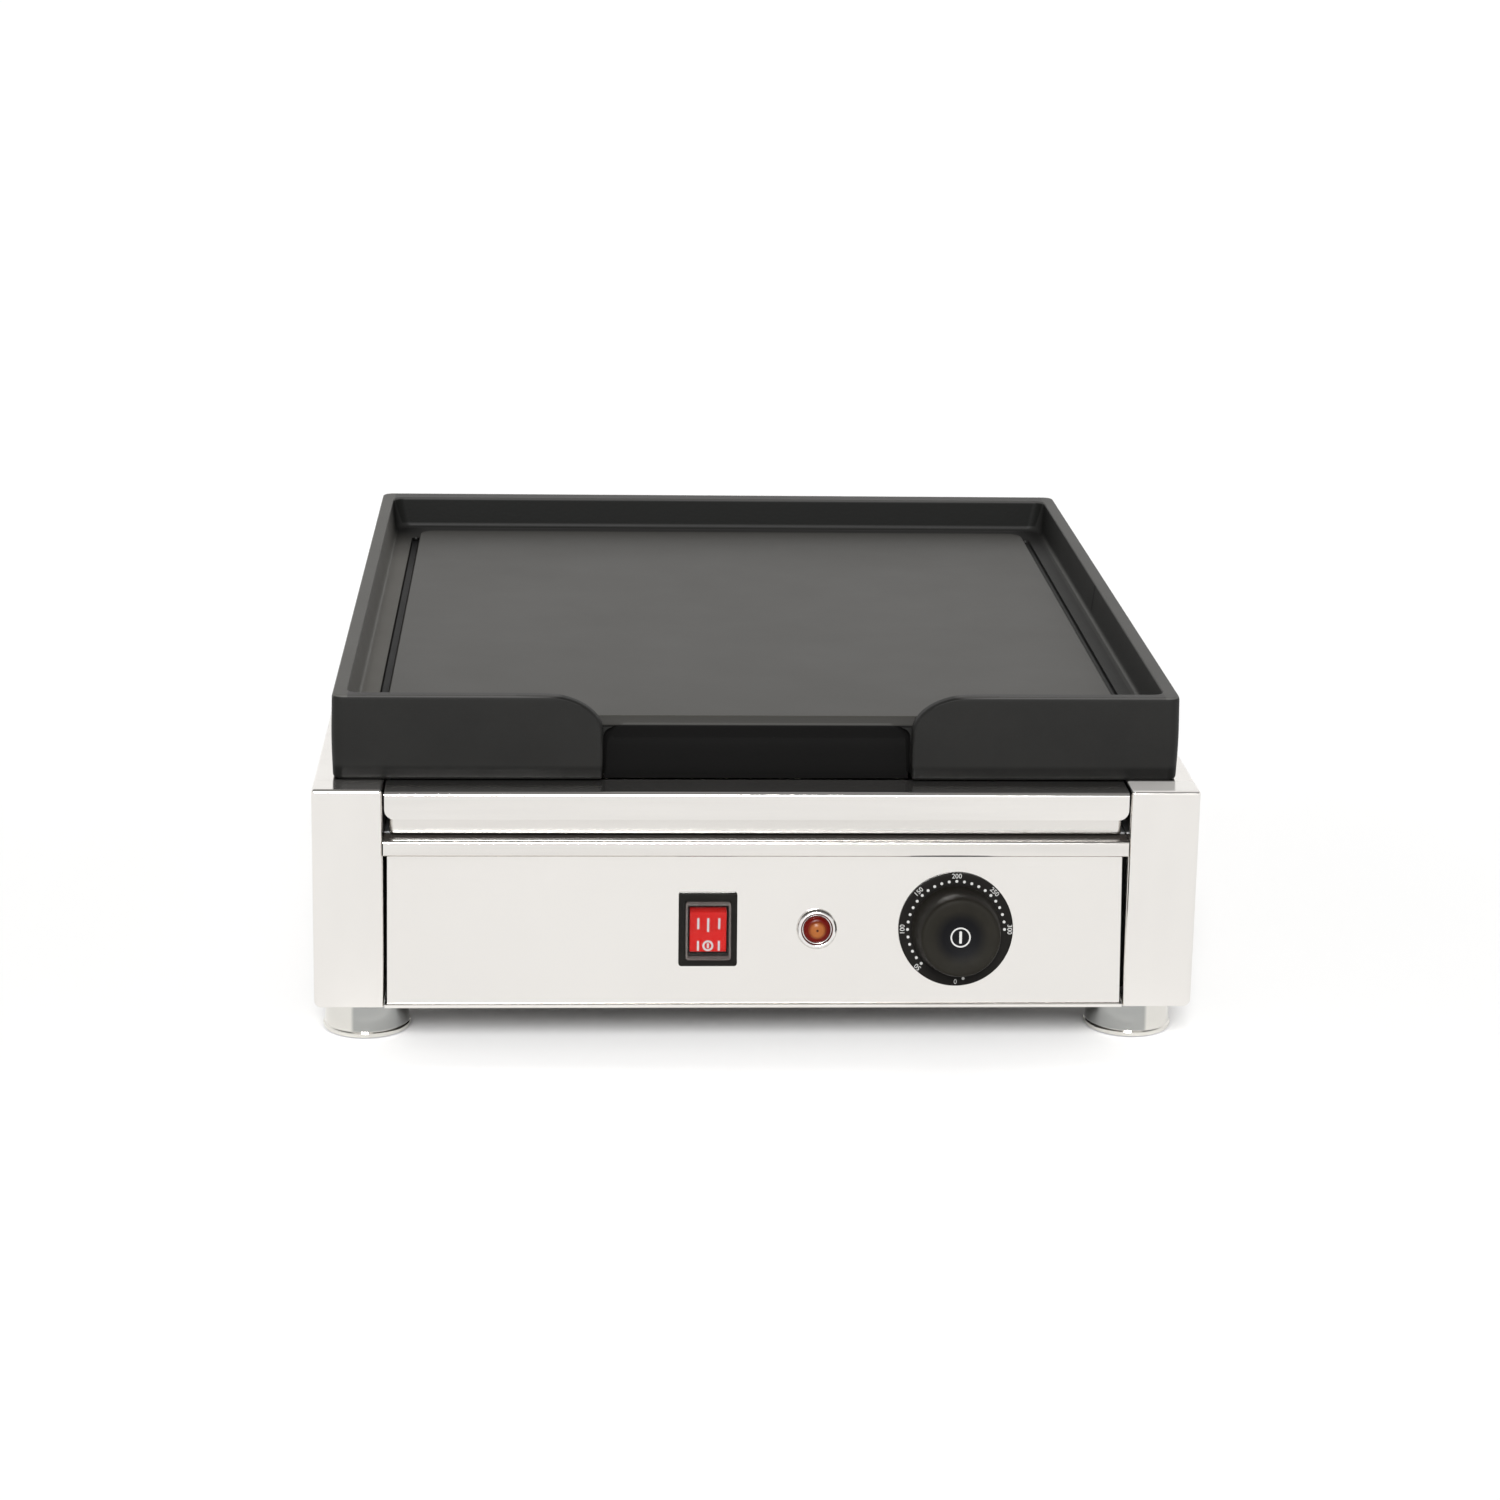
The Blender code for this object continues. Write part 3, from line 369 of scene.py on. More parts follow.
def texture(place, scale, detail=3.0, rough=0.5):
    """Noise from 0 to 1, in cycles per metre: one number, or one for each axis."""
    scales = scale if isinstance(scale, tuple) else (scale,) * 3
    stretch = node(place.id_data, "Mapping", Vector=place, Scale=scales)
    return node(place.id_data, "TexNoise", Vector=stretch.outputs[0], Scale=1.0, Detail=detail,
                Roughness=rough).outputs[0]


def ranged(value, low, high, to_low=0.0, to_high=1.0):
    """A value mapped from low..high to to_low..to_high, and held outside them."""
    made = node(value.id_data, "MapRange", {"clamp": True})
    for number, socket in zip((value, low, high, to_low, to_high), made.inputs):
        feed(number, socket)
    return made.outputs[0]


def mixed(factor, first, second):
    """A colour between two colours, each a socket or (r, g, b)."""
    made = node(factor.id_data, "Mix", {"data_type": "RGBA"})
    feed(factor, made.inputs[0])
    for socket, colour in ((made.inputs[6], first), (made.inputs[7], second)):
        feed(colour if isinstance(colour, bpy.types.NodeSocket) else (*colour, 1.0), socket)
    return made.outputs[2]


def paint(shader, *layers, target="Base Color"):
    """Lay (mask, colour) layers over what a shader's input is linked to, the last one on top."""
    value = shader.inputs[target].links[0].from_socket
    for mask, colour in layers:
        value = mixed(mask, value, colour)
    feed(value, shader.inputs[target])


def surface(name, colour, other, roughness, metallic=0.0, blotch=60, grain=1800, bump=0.15, depth=0.00004,
            specular=0.5):
    """A material with blotchy colour, roughness that varies with it, and a grain that is felt as bump."""
    material, shader, place = graph(name)
    patches = texture(place, blotch, 4.0, 0.55)
    fine = texture(place, grain, 3.0, 0.6)
    feed(mixed(ranged(patches, 0.32, 0.68), colour, other), shader.inputs["Base Color"])
    feed(maths("ADD", ranged(patches, 0.3, 0.7, *roughness), ranged(fine, 0.2, 0.8, -0.02, 0.02)),
         shader.inputs["Roughness"])
    relief = node(place.id_data, "Bump", Strength=bump, Distance=depth, Height=fine)
    feed(relief.outputs[0], shader.inputs["Normal"])
    shader.inputs["Metallic"].default_value = metallic
    shader.inputs["Specular IOR Level"].default_value = specular
    return material


def steel(name, colour=(0.8, 0.778, 0.748), other=(0.772, 0.75, 0.721), roughness=(0.11, 0.16),
          grain=(14, 1700, 1700), blotch=9):
    """Polished sheet with fine lines, which run along X unless the grain says otherwise."""
    return surface(name, colour, other, roughness, 1.0, blotch, grain, 0.06, 0.00003)


def pan_steel():
    """Duller steel, with painted shade on its underside."""
    material = steel("steel_pan", (0.752, 0.729, 0.698), (0.706, 0.684, 0.655), (0.18, 0.26), blotch=STREAKS)
    shader, place = opened(material)
    # painted shade: a dark band on the pan's underside
    under = ranged(axes(place)["Z"], TRAY_BOTTOM + 0.0002, TRAY_BOTTOM + 0.0006, 1, 0)
    paint(shader, (under, (0.07, 0.064, 0.058)))
    return material


def base_steel():
    """Bright at the hem in front; inside the body rougher, and darkened with painted shade."""
    material = steel("steel_base")
    shader, place = opened(material)
    inside = ranged(axes(place)["Y"], FRONT_Y + 0.01, FRONT_Y + 0.012)
    # painted shade inside the body, and a rougher surface there
    paint(shader, (inside, (0.12, 0.115, 0.11)))
    paint(shader, (inside, (0.62, 0.62, 0.62)), target="Roughness")
    return material


def bar_steel():
    """Bright in front, with painted shade: a darker line along the seam with the panel, and a dark, not
    metallic ledge under the tray.
    """
    material = steel("steel_bar", (0.78, 0.757, 0.726), (0.705, 0.683, 0.654), blotch=(5, 150, 150))
    shader, place = opened(material)
    y, z = axes(place)[1:]
    # painted shade along the seam with the panel, for the shadow in the gap there
    seam = ranged(z, BAR_BOTTOM + 0.0006, BAR_BOTTOM + 0.0009, 1, 0)
    # painted shade on the ledge under the tray, dark and not metallic
    shaded_ledge = ranged(y, FRONT_Y + 0.0014, FRONT_Y + 0.0018)
    paint(shader, (seam, (0.42, 0.38, 0.34)), (shaded_ledge, (0.05, 0.044, 0.04)))
    feed(ranged(shaded_ledge, 0, 1, 1, 0), shader.inputs["Metallic"])
    return material


def strip_steel():
    """Grain along the strip, with painted light on the shelf: a little less metallic there, so a lit grey
    shows.
    """
    material = steel("steel_strip", other=(0.738, 0.717, 0.689), blotch=STREAKS)
    shader, place = opened(material)
    # painted light: the shelf is slightly less metallic, which lightens it
    shelf = ranged(axes(place)["Z"], HANDLE_TOP - 0.0004, HANDLE_TOP - 0.0001, 1.0, 0.97)
    feed(shelf, shader.inputs["Metallic"])
    return material


def column_steel():
    """Upright grain, with painted light on the front of the top face, stronger on the right: less metallic
    there, so a lit grey shows.
    """
    material = steel("steel_column", (0.812, 0.79, 0.76), (0.786, 0.764, 0.735), grain=(1700, 1700, 14),
                     blotch=(55, 55, 12))
    shader, place = opened(material)
    x, y, z = axes(place)
    # painted light on the front of the top face, stronger on the right column
    thickness = ranged(x, COLUMN_INNER - 0.001, COLUMN_INNER, 0.06, 0.66)
    painted_light = product(thickness, ranged(z, COLUMN_TOP - 0.0006, COLUMN_TOP - 0.0002),
                   ranged(y, FRONT_Y + 0.015, FRONT_Y + 0.017, 1, 0))
    feed(ranged(painted_light, 0, 1, 1, 0), shader.inputs["Metallic"])
    return material


def foot_chrome():
    """Bright chrome, with a painted reflection that greys the inner side and a painted shadow along the edge
    that it stands on.
    """
    material = surface("foot_chrome", (0.75, 0.735, 0.69), (0.7, 0.685, 0.645), (0.05, 0.09), 1.0,
                       40, 900, 0.02, 0.00002)
    shader, place = opened(material)
    spot = axes(place)
    # painted reflection: the inner side greyer, as if it mirrored the shade under the body
    inner = product(ranged(maths("ABSOLUTE", spot["X"]), FOOT_X + 0.005, FOOT_X + 0.0066, 1, 0),
                    ranged(spot["Z"], 0.0026, 0.0036))
    # painted shadow along the edge that it stands on
    edge = ranged(spot["Z"], 0.0005, 0.0009, 1, 0)
    paint(shader, (inner, (0.38, 0.385, 0.375)), (edge, (0.3, 0.3, 0.33)))
    return material


def cast_iron():
    """Seasoned cast iron: pebbled, smoother where it was ground for cooking, and darkest by the notch with
    painted shade; other painted light and shade is marked below.
    """
    material, shader, place = graph("cast_iron")
    x, y, z = axes(place)
    across = maths("ABSOLUTE", x)
    depth = maths("SUBTRACT", y, FRONT_Y)
    patches = texture(place, 22, 5.0, 0.6)
    pebbles = texture(place, 620, 4.0, 0.62)
    fine = texture(place, 2400, 2.0, 0.6)

    def within(axis, low, high, edge=0.0004):
        """1 between two levels of an axis, falling to 0 just outside them."""
        return product(ranged(axis, low - edge, low), ranged(axis, high, high + edge, 1, 0))

    top = ranged(z, PLATE_TOP - 0.001, PLATE_TOP - 0.0004)
    cooking = product(within(z, GRIDDLE_Z - 0.0002, GRIDDLE_Z + 0.0004), within(depth, 0.03, 0.408),
                      ranged(across, GRIDDLE_HALF_WIDTH, GRIDDLE_HALF_WIDTH + 0.0006, 1, 0))
    # darker in patches towards the back of the cooking surface
    toward_back = product(ranged(depth, 0.36, 0.406, 0.0, 0.42), ranged(patches, 0.3, 0.7, 0.4, 1.0))
    # painted shade in the notch, which is also rougher
    shaded_notch = product(within(across, 0.0, NOTCH_HALF_WIDTH + 0.0004), within(depth, 0.0243, 0.036),
                     ranged(z, GUTTER_Z - 0.0004, GUTTER_Z + 0.0002, 1, 0))
    side_walls = product(ranged(depth, 0.0176, 0.018), ranged(depth, 0.35, 0.42, 1, 0))
    left_side = product(side_walls, within(z, GUTTER_Z - 0.0004, PLATE_TOP))
    layers = [
        # the left gutter and wall, and the right ones, all lighter with painted sheen
        (product(left_side, ranged(x, -0.1909, -0.1905), ranged(x, -0.1744, -0.165, 1, 0)),
         (0.09, 0.086, 0.0765)),
        (product(left_side, within(x, -0.1905, -0.1826)), (0.16, 0.156, 0.147)),
        (product(side_walls, within(x, 0.1742, 0.1849), within(z, GUTTER_Z - 0.0004, PLATE_TOP - 0.0008)),
         (0.027, 0.0268, 0.0255)),
        # painted highlight along the foot of the right wall
        (product(side_walls, within(x, 0.1804, 0.183), within(z, GUTTER_Z + 0.0002, GUTTER_Z + 0.0024)),
         (0.056, 0.055, 0.052)),
        # the back wall, darkened with painted shade, and the back gutter, lightened with painted light
        (product(within(x, -0.185, 0.185), within(depth, 0.4298, 0.436),
                 within(z, GUTTER_Z + 0.003, PLATE_TOP - 0.0012)), (0.004, 0.0042, 0.0037)),
        (product(within(x, -0.166, 0.166, 0.012), within(depth, 0.4084, 0.4292),
                 within(z, GUTTER_Z - 0.0004, GUTTER_Z + 0.0014)), (0.027, 0.0268, 0.0258)),
        # the rim, lighter from wear and painted sheen, and its left and right ends lighter still
        (product(top, within(x, -0.1912, 0.1912)), (0.056, 0.0545, 0.053)),
        (product(top, within(x, -0.1912, -0.1846)), (0.092, 0.09, 0.084)),
        (product(top, within(x, 0.1849, 0.1912)), (0.078, 0.0765, 0.073)),
        # painted shade along the lower edge of the walls
        (ranged(z, PLATE_BOTTOM + 0.0052, PLATE_BOTTOM + 0.007, 1, 0), (0.0034, 0.0034, 0.0031)),
        # the slope above the notch, and painted shade in the notch
        (product(within(across, 0.0, NOTCH_HALF_WIDTH + 0.002), within(depth, 0.027, 0.03),
                 within(z, GUTTER_Z, GRIDDLE_Z)), (0.034, 0.033, 0.0305)),
        (shaded_notch, (0.0012, 0.0011, 0.001)),
        # painted shade on the floor of the left groove
        (product(within(x, -0.1738, -0.1692), within(depth, 0.029, 0.4085),
                 within(z, GUTTER_Z - 0.0025, GUTTER_Z - 0.0005)), (0.001, 0.001, 0.0009)),
        # the casting seam on the right wall
        (product(within(x, 0.18, 0.186), within(depth, SEAM_DEPTH - 0.0012, SEAM_DEPTH + 0.0012),
                 within(z, GUTTER_Z + 0.003, PLATE_TOP - 0.001)), (0.0015, 0.0015, 0.0015)),
    ]
    change = ranged(patches, 0.3, 0.7)
    feed(mixed(change, (0.0104, 0.0103, 0.0098), (0.0126, 0.0125, 0.0118)), shader.inputs["Base Color"])
    ground = mixed(change, (0.045, 0.0435, 0.039), (0.05, 0.0485, 0.0435))
    paint(shader, *layers, (cooking, mixed(toward_back, ground, (0.018, 0.0175, 0.016))))
    smoother = maths("SUBTRACT", ranged(patches, 0.3, 0.7, 0.46, 0.5), ranged(cooking, 0.0, 1.0, 0.0, 0.1))
    feed(maths("ADD", smoother, ranged(shaded_notch, 0.0, 1.0, 0.0, 0.28)), shader.inputs["Roughness"])
    relief = node(place.id_data, "Bump", Distance=0.00022, Strength=ranged(cooking, 0.0, 1.0, 0.24, 0.06),
                  Height=maths("MULTIPLY_ADD", fine, 0.25, pebbles))
    feed(relief.outputs[0], shader.inputs["Normal"])
    shader.inputs["Specular IOR Level"].default_value = 0.11
    return material


def knob_black():
    """Black plastic with painted shade: darker on the skirt and blacker in the dish, which leaves the crest
    browner.
    """
    material = surface("knob_black", (0.013, 0.0118, 0.009), (0.011, 0.01, 0.0076), (0.54, 0.62), 0.0,
                       120, 3600, 0.16, 0.00003, 0.08)
    shader, place = opened(material)
    to_knob = on_panel(KNOB_X).inverted()
    local = node(place.id_data, "Mapping", Vector=place, Location=to_knob.translation,
                 Rotation=to_knob.to_euler())
    radius = axis_distance(local.outputs[0])
    # painted shade on the skirt and in the dish
    skirt = ranged(radius, 0.0172, 0.0182)
    dish = ranged(radius, 0.008, 0.0125, 1, 0)
    paint(shader, (skirt, (0.0072, 0.006, 0.0042)), (dish, (0.003, 0.0031, 0.0038)))
    return material


def lamp_lens():
    """A red lens that is amber in the middle, with a dark point where the lamp sits behind it."""
    material, shader, place = graph("lamp_lens")
    radius = axis_distance(place)
    cloud = texture(place, 260)
    amber = mixed(cloud, (0.27, 0.088, 0.024), (0.21, 0.064, 0.017))
    red = mixed(cloud, (0.095, 0.0035, 0.0014), (0.075, 0.0026, 0.001))
    tone = mixed(ranged(radius, 0.0026, 0.0044), amber, red)
    feed(mixed(ranged(radius, 0.00035, 0.00075), (0.04, 0.008, 0.004), tone), shader.inputs["Base Color"])
    feed(ranged(cloud, 0.2, 0.8, 0.22, 0.3), shader.inputs["Roughness"])
    shader.inputs["Specular IOR Level"].default_value = 0.1
    return material


def clear_plastic(name, alpha, colour, other):
    material, shader, place = graph(name)
    haze = texture(place, 140, 3.0, 0.6)
    feed(ranged(haze, 0.3, 0.7, 0.05, 0.1), shader.inputs["Roughness"])
    feed(mixed(haze, colour, other), shader.inputs["Base Color"])
    shader.inputs["Alpha"].default_value = alpha
    return material


# Two colours, roughness, metallic, blotch and grain in cycles per metre, bump and its depth, specular level
SURFACES = {
    "ring_chrome": ((0.8, 0.785, 0.765), (0.72, 0.705, 0.69), (0.15, 0.21), 1.0, 300, 900, 0.03, 0.00002),
    "galvanised": ((0.62, 0.63, 0.64), (0.52, 0.53, 0.55), (0.34, 0.5), 1.0, 90, 1200, 0.12, 0.00003),
    "zinc": ((0.66, 0.66, 0.62), (0.56, 0.56, 0.54), (0.28, 0.4), 1.0, 200, 2500, 0.1, 0.00002),
    "sheath": ((0.2, 0.19, 0.18), (0.13, 0.12, 0.12), (0.4, 0.55), 0.9, 70, 1500, 0.2, 0.00004),
    "black_plastic": ((0.0052, 0.0045, 0.0036), (0.004, 0.0034, 0.0028), (0.44, 0.52), 0.0, 120, 3200,
                      0.15, 0.00003, 0.1),
    "red": ((0.46, 0.005, 0.003), (0.4, 0.004, 0.0024), (0.2, 0.26), 0.0, 150, 1500,
            0.05, 0.00002, 0.2),
    "white_print": ((0.46, 0.46, 0.45), (0.4, 0.4, 0.39), (0.4, 0.5), 0.0, 900, 5000, 0.1, 0.00001),
    "cream": ((0.8, 0.76, 0.66), (0.74, 0.7, 0.6), (0.4, 0.52), 0.0, 150, 2500, 0.12, 0.00003),
    "copper": ((0.72, 0.4, 0.26), (0.55, 0.3, 0.2), (0.25, 0.4), 1.0, 120, 2500, 0.08, 0.00002),
    "fibre": ((0.86, 0.85, 0.8), (0.76, 0.75, 0.7), (0.9, 0.97), 0.0, 150, 1400, 0.6, 0.0004),
    "brown_wire": ((0.22, 0.1, 0.05), (0.17, 0.08, 0.04), (0.4, 0.5)),
    "blue_wire": ((0.04, 0.14, 0.45), (0.03, 0.11, 0.36), (0.4, 0.5)),
    "white_wire": ((0.78, 0.78, 0.75), (0.68, 0.68, 0.64), (0.55, 0.7), 0.0, 300, 2600, 0.5, 0.0001),
}
LOOKS = {name: surface(name, *values) for name, values in SURFACES.items()}
LOOKS.update({
    "steel_x": steel("steel_x"),
    "steel_column": column_steel(),
    "steel_strip": strip_steel(),
    "steel_pan": pan_steel(),
    "steel_base": base_steel(),
    "steel_bar": bar_steel(),
    "foot_chrome": foot_chrome(),
    "cast_iron": cast_iron(),
    "lamp_lens": lamp_lens(),
    "knob_black": knob_black(),
    "clear": clear_plastic("clear_plastic", 0.06, (0.06, 0.045, 0.045), (0.04, 0.028, 0.028)),
    # the cover's skirt: a lighter, less clear copy of the clear plastic, as painted highlight along its edges
    "clear_edge_highlight": clear_plastic("clear_edge_highlight", 0.22, (0.34, 0.3, 0.28), (0.26, 0.22, 0.21)),
})


# Pieces

def piece(name, solid, look, replaced=(), matrix=BODY, body="housing", sharp=35, weighted=True,
          own_axes=False):
    """One visible piece: its mesh, look, material slot, the CAD nodes that it stands for, place and body."""
    if not own_axes:
        solid.transform(matrix)
        matrix = Matrix.Identity(4)
    mesh = bpy.data.meshes.new(name)
    solid.to_mesh(mesh)
    solid.free()
    mesh.shade_smooth()
    mesh.set_sharp_from_angle(angle=radians(sharp))
    mesh.materials.append(LOOKS[look])
    made = bpy.data.objects.new(name, mesh)
    made.matrix_world = matrix
    bpy.context.collection.objects.link(made)
    if weighted:
        modifier = made.modifiers.new("normals", "WEIGHTED_NORMAL")
        modifier.keep_sharp = True
    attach(made, body)
    if replaced:
        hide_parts(*replaced)
    return made


def make_columns():
    """Box columns: one folded skin with eased front edges, and the holes for feet and plate bolts."""
    corners = (0.0035, 0.0015, 0.0015, 0.001)
    back, edge, steps = BACK_SKIN - GAP, 0.0018, 5

    def ring(side, depth, inset):
        spots = [(BODY_HALF_WIDTH - inset, BASE_Z + inset), (BODY_HALF_WIDTH - inset, COLUMN_TOP - inset),
                 (COLUMN_INNER + inset, COLUMN_TOP - inset), (COLUMN_INNER + inset, BASE_Z + inset)]
        outline = [(side * x, z, max(radius - inset, 0.0002)) for (x, z), radius in zip(spots, corners)]
        return ring_at(rounded(outline), depth, "Y")

    for side, word in ((-1, "left"), (1, "right")):
        eased = []
        for step in range(steps + 1):
            angle = radians(90) * step / steps
            eased.append(ring(side, edge * (1 - sin(angle)), edge * (1 - cos(angle))))
        rings = eased[::-1] + [ring(side, back, 0.0), ring(side, back, SHEET), ring(side, SHEET, SHEET)]
        holes = [round_hole(side * FOOT_X, depth, BASE_Z - 0.002, BASE_Z + 0.003, STUD_RADIUS + GAP)
                 for depth in FOOT_DEPTHS]
        holes += [round_hole(side * PLATE_BOLT_X, depth, COLUMN_TOP - 0.003, COLUMN_TOP + 0.002,
                             BOLT_RADIUS + GAP) for depth in PLATE_BOLT_DEPTHS]
        column = carved(loft(rings), gather(holes))
        piece("column_" + word, column, "steel_column", ["side_column_" + word])


def make_rear_panel():
    """The rear panel with its top flange, vents and openings, and its four screws."""
    side, low, high, ease = 0.1995, BASE_Z + 0.0006, COLUMN_TOP - 0.0006, 0.0003
    outline = rectangle(-side, low, side, high, 0.0035)
    edge = rectangle(-side + ease, low + ease, side - ease, high - ease, 0.0035 - ease)
    sheet = loft([ring_at(outline, BACK_SKIN, "Y"), ring_at(outline, BODY_DEPTH - ease, "Y"),
                  ring_at(edge, BODY_DEPTH, "Y")])
    flange = rectangle(-COLUMN_INNER + SHEET, 0.43, COLUMN_INNER - SHEET, BACK_SKIN + SHEET / 2, 0.0)
    sheet = carved(sheet, prism(flange, COLUMN_TOP - 0.0017, COLUMN_TOP - 0.0007, "Z"), "UNION")
    cuts = [circle(GLAND_X, GLAND_Z, 0.0082)] + [circle(x, z, 0.0024, 20) for x, z in REAR_SCREW_SPOTS]
    for bank in (-0.03, 0.09):
        for number in range(6):
            x = bank + (number - 2.5) * 0.011
            cuts.append(rectangle(x - 0.0022, 0.062, x + 0.0022, 0.096, 0.0021))
    through = gather([prism(cut, BACK_SKIN - 0.002, BODY_DEPTH + 0.002, "Y") for cut in cuts])
    piece("back_panel", carved(sheet, through), "steel_x", ["rear_panel"])

    head = softened([(0, -0.006, 0), (0.002, -0.006, 0), (0.002, GAP, 0), (0.0042, GAP, 0.0002),
                     (0.004, 0.0016, 0.0006), (0.0024, 0.0026, 0.0006), (0, 0.0028, 0)])
    long, short = 0.0023, 0.00035
    for number, spot in enumerate(REAR_SCREW_SPOTS, 1):
        screw = turned(head, 32)
        for half_x, half_y in ((long, short), (short, long)):
            arm = prism(rectangle(-half_x, -half_y, half_x, half_y, 0.0001, 2), 0.0014, 0.004, "Z")
            screw = carved(screw, arm)
        piece("back_screw_%d" % number, screw, "zinc", ["rear_screw_%d" % number],
              on_back(*spot) @ Matrix.Rotation(radians(37 * number), 4, "Z"))


def make_front():
    """The front bar and the leaning control panel."""
    bar = [(0.012, BAR_BOTTOM), (0.0, BAR_BOTTOM), (0.0, BAR_TOP), (0.013, BAR_TOP)]
    piece("bar", prism(folded(bar, 0.0014), -BAY_HALF_WIDTH, BAY_HALF_WIDTH, "X"), "steel_bar",
          ["front_bar"])
    foot = PANEL_BOTTOM - 0.00025
    path = [(0.02, foot), (PANEL_FOOT_DEPTH, foot), (PANEL_HEAD_DEPTH, PANEL_TOP), (0.024, PANEL_TOP)]
    sheet = prism(folded(path, 0.0005), -PANEL_HALF_WIDTH, PANEL_HALF_WIDTH, "X")
    reach = 0.004
    opening = rectangle(SWITCH_X - 0.0111, -0.0151, SWITCH_X + 0.0111, 0.0151, 0.001)
    holes = [(PILOT_X, 0.0063), (KNOB_X, 0.0045), (KNOB_X - DIAL_SCREW_X, DIAL_SCREW_HOLE),
             (KNOB_X + DIAL_SCREW_X, DIAL_SCREW_HOLE)]
    cutter = gather([prism(opening, -reach, reach, "Z")]
                    + [round_hole(x, 0, -reach, reach, radius) for x, radius in holes])
    cutter.transform(BODY.inverted() @ PANEL)
    piece("panel", carved(sheet, cutter), "steel_x", ["control_panel"])


def make_feet():
    """Round chromed feet, each with the stud that holds it."""
    low, high = BASE_Z - GAP, BASE_Z + 0.014
    profile = [(0, 0, 0), (0.0188, 0, 0.0006), (0.0205, 0.0006, 0.0005), (0.0205, 0.0024, 0.0006),
               (0.0198, 0.0031, 0.0004), (0.0194, 0.009, 0.002), (0.0183, 0.0165, 0.0025),
               (0.0163, 0.0217, 0.002), (0.013, 0.0245, 0.0015), (0.0095, low, 0.0002),
               (STUD_RADIUS, low, 0), (STUD_RADIUS, high, 0), (0, high, 0)]
    for row, depth in zip(("front", "rear"), FOOT_DEPTHS):
        for side, word in ((-1, "left"), (1, "right")):
            piece("cup_%s_%s" % (row, word), turned(softened(profile), 72), "foot_chrome",
                  ["foot_%s_%s" % (row, word)], BODY @ Matrix.Translation((side * FOOT_X, depth, 0)))


def plate_ring(half_width, front, back, radius, z, steps=10):
    return ring_at(rectangle(-half_width, front, half_width, back, radius, steps), z, "Z")


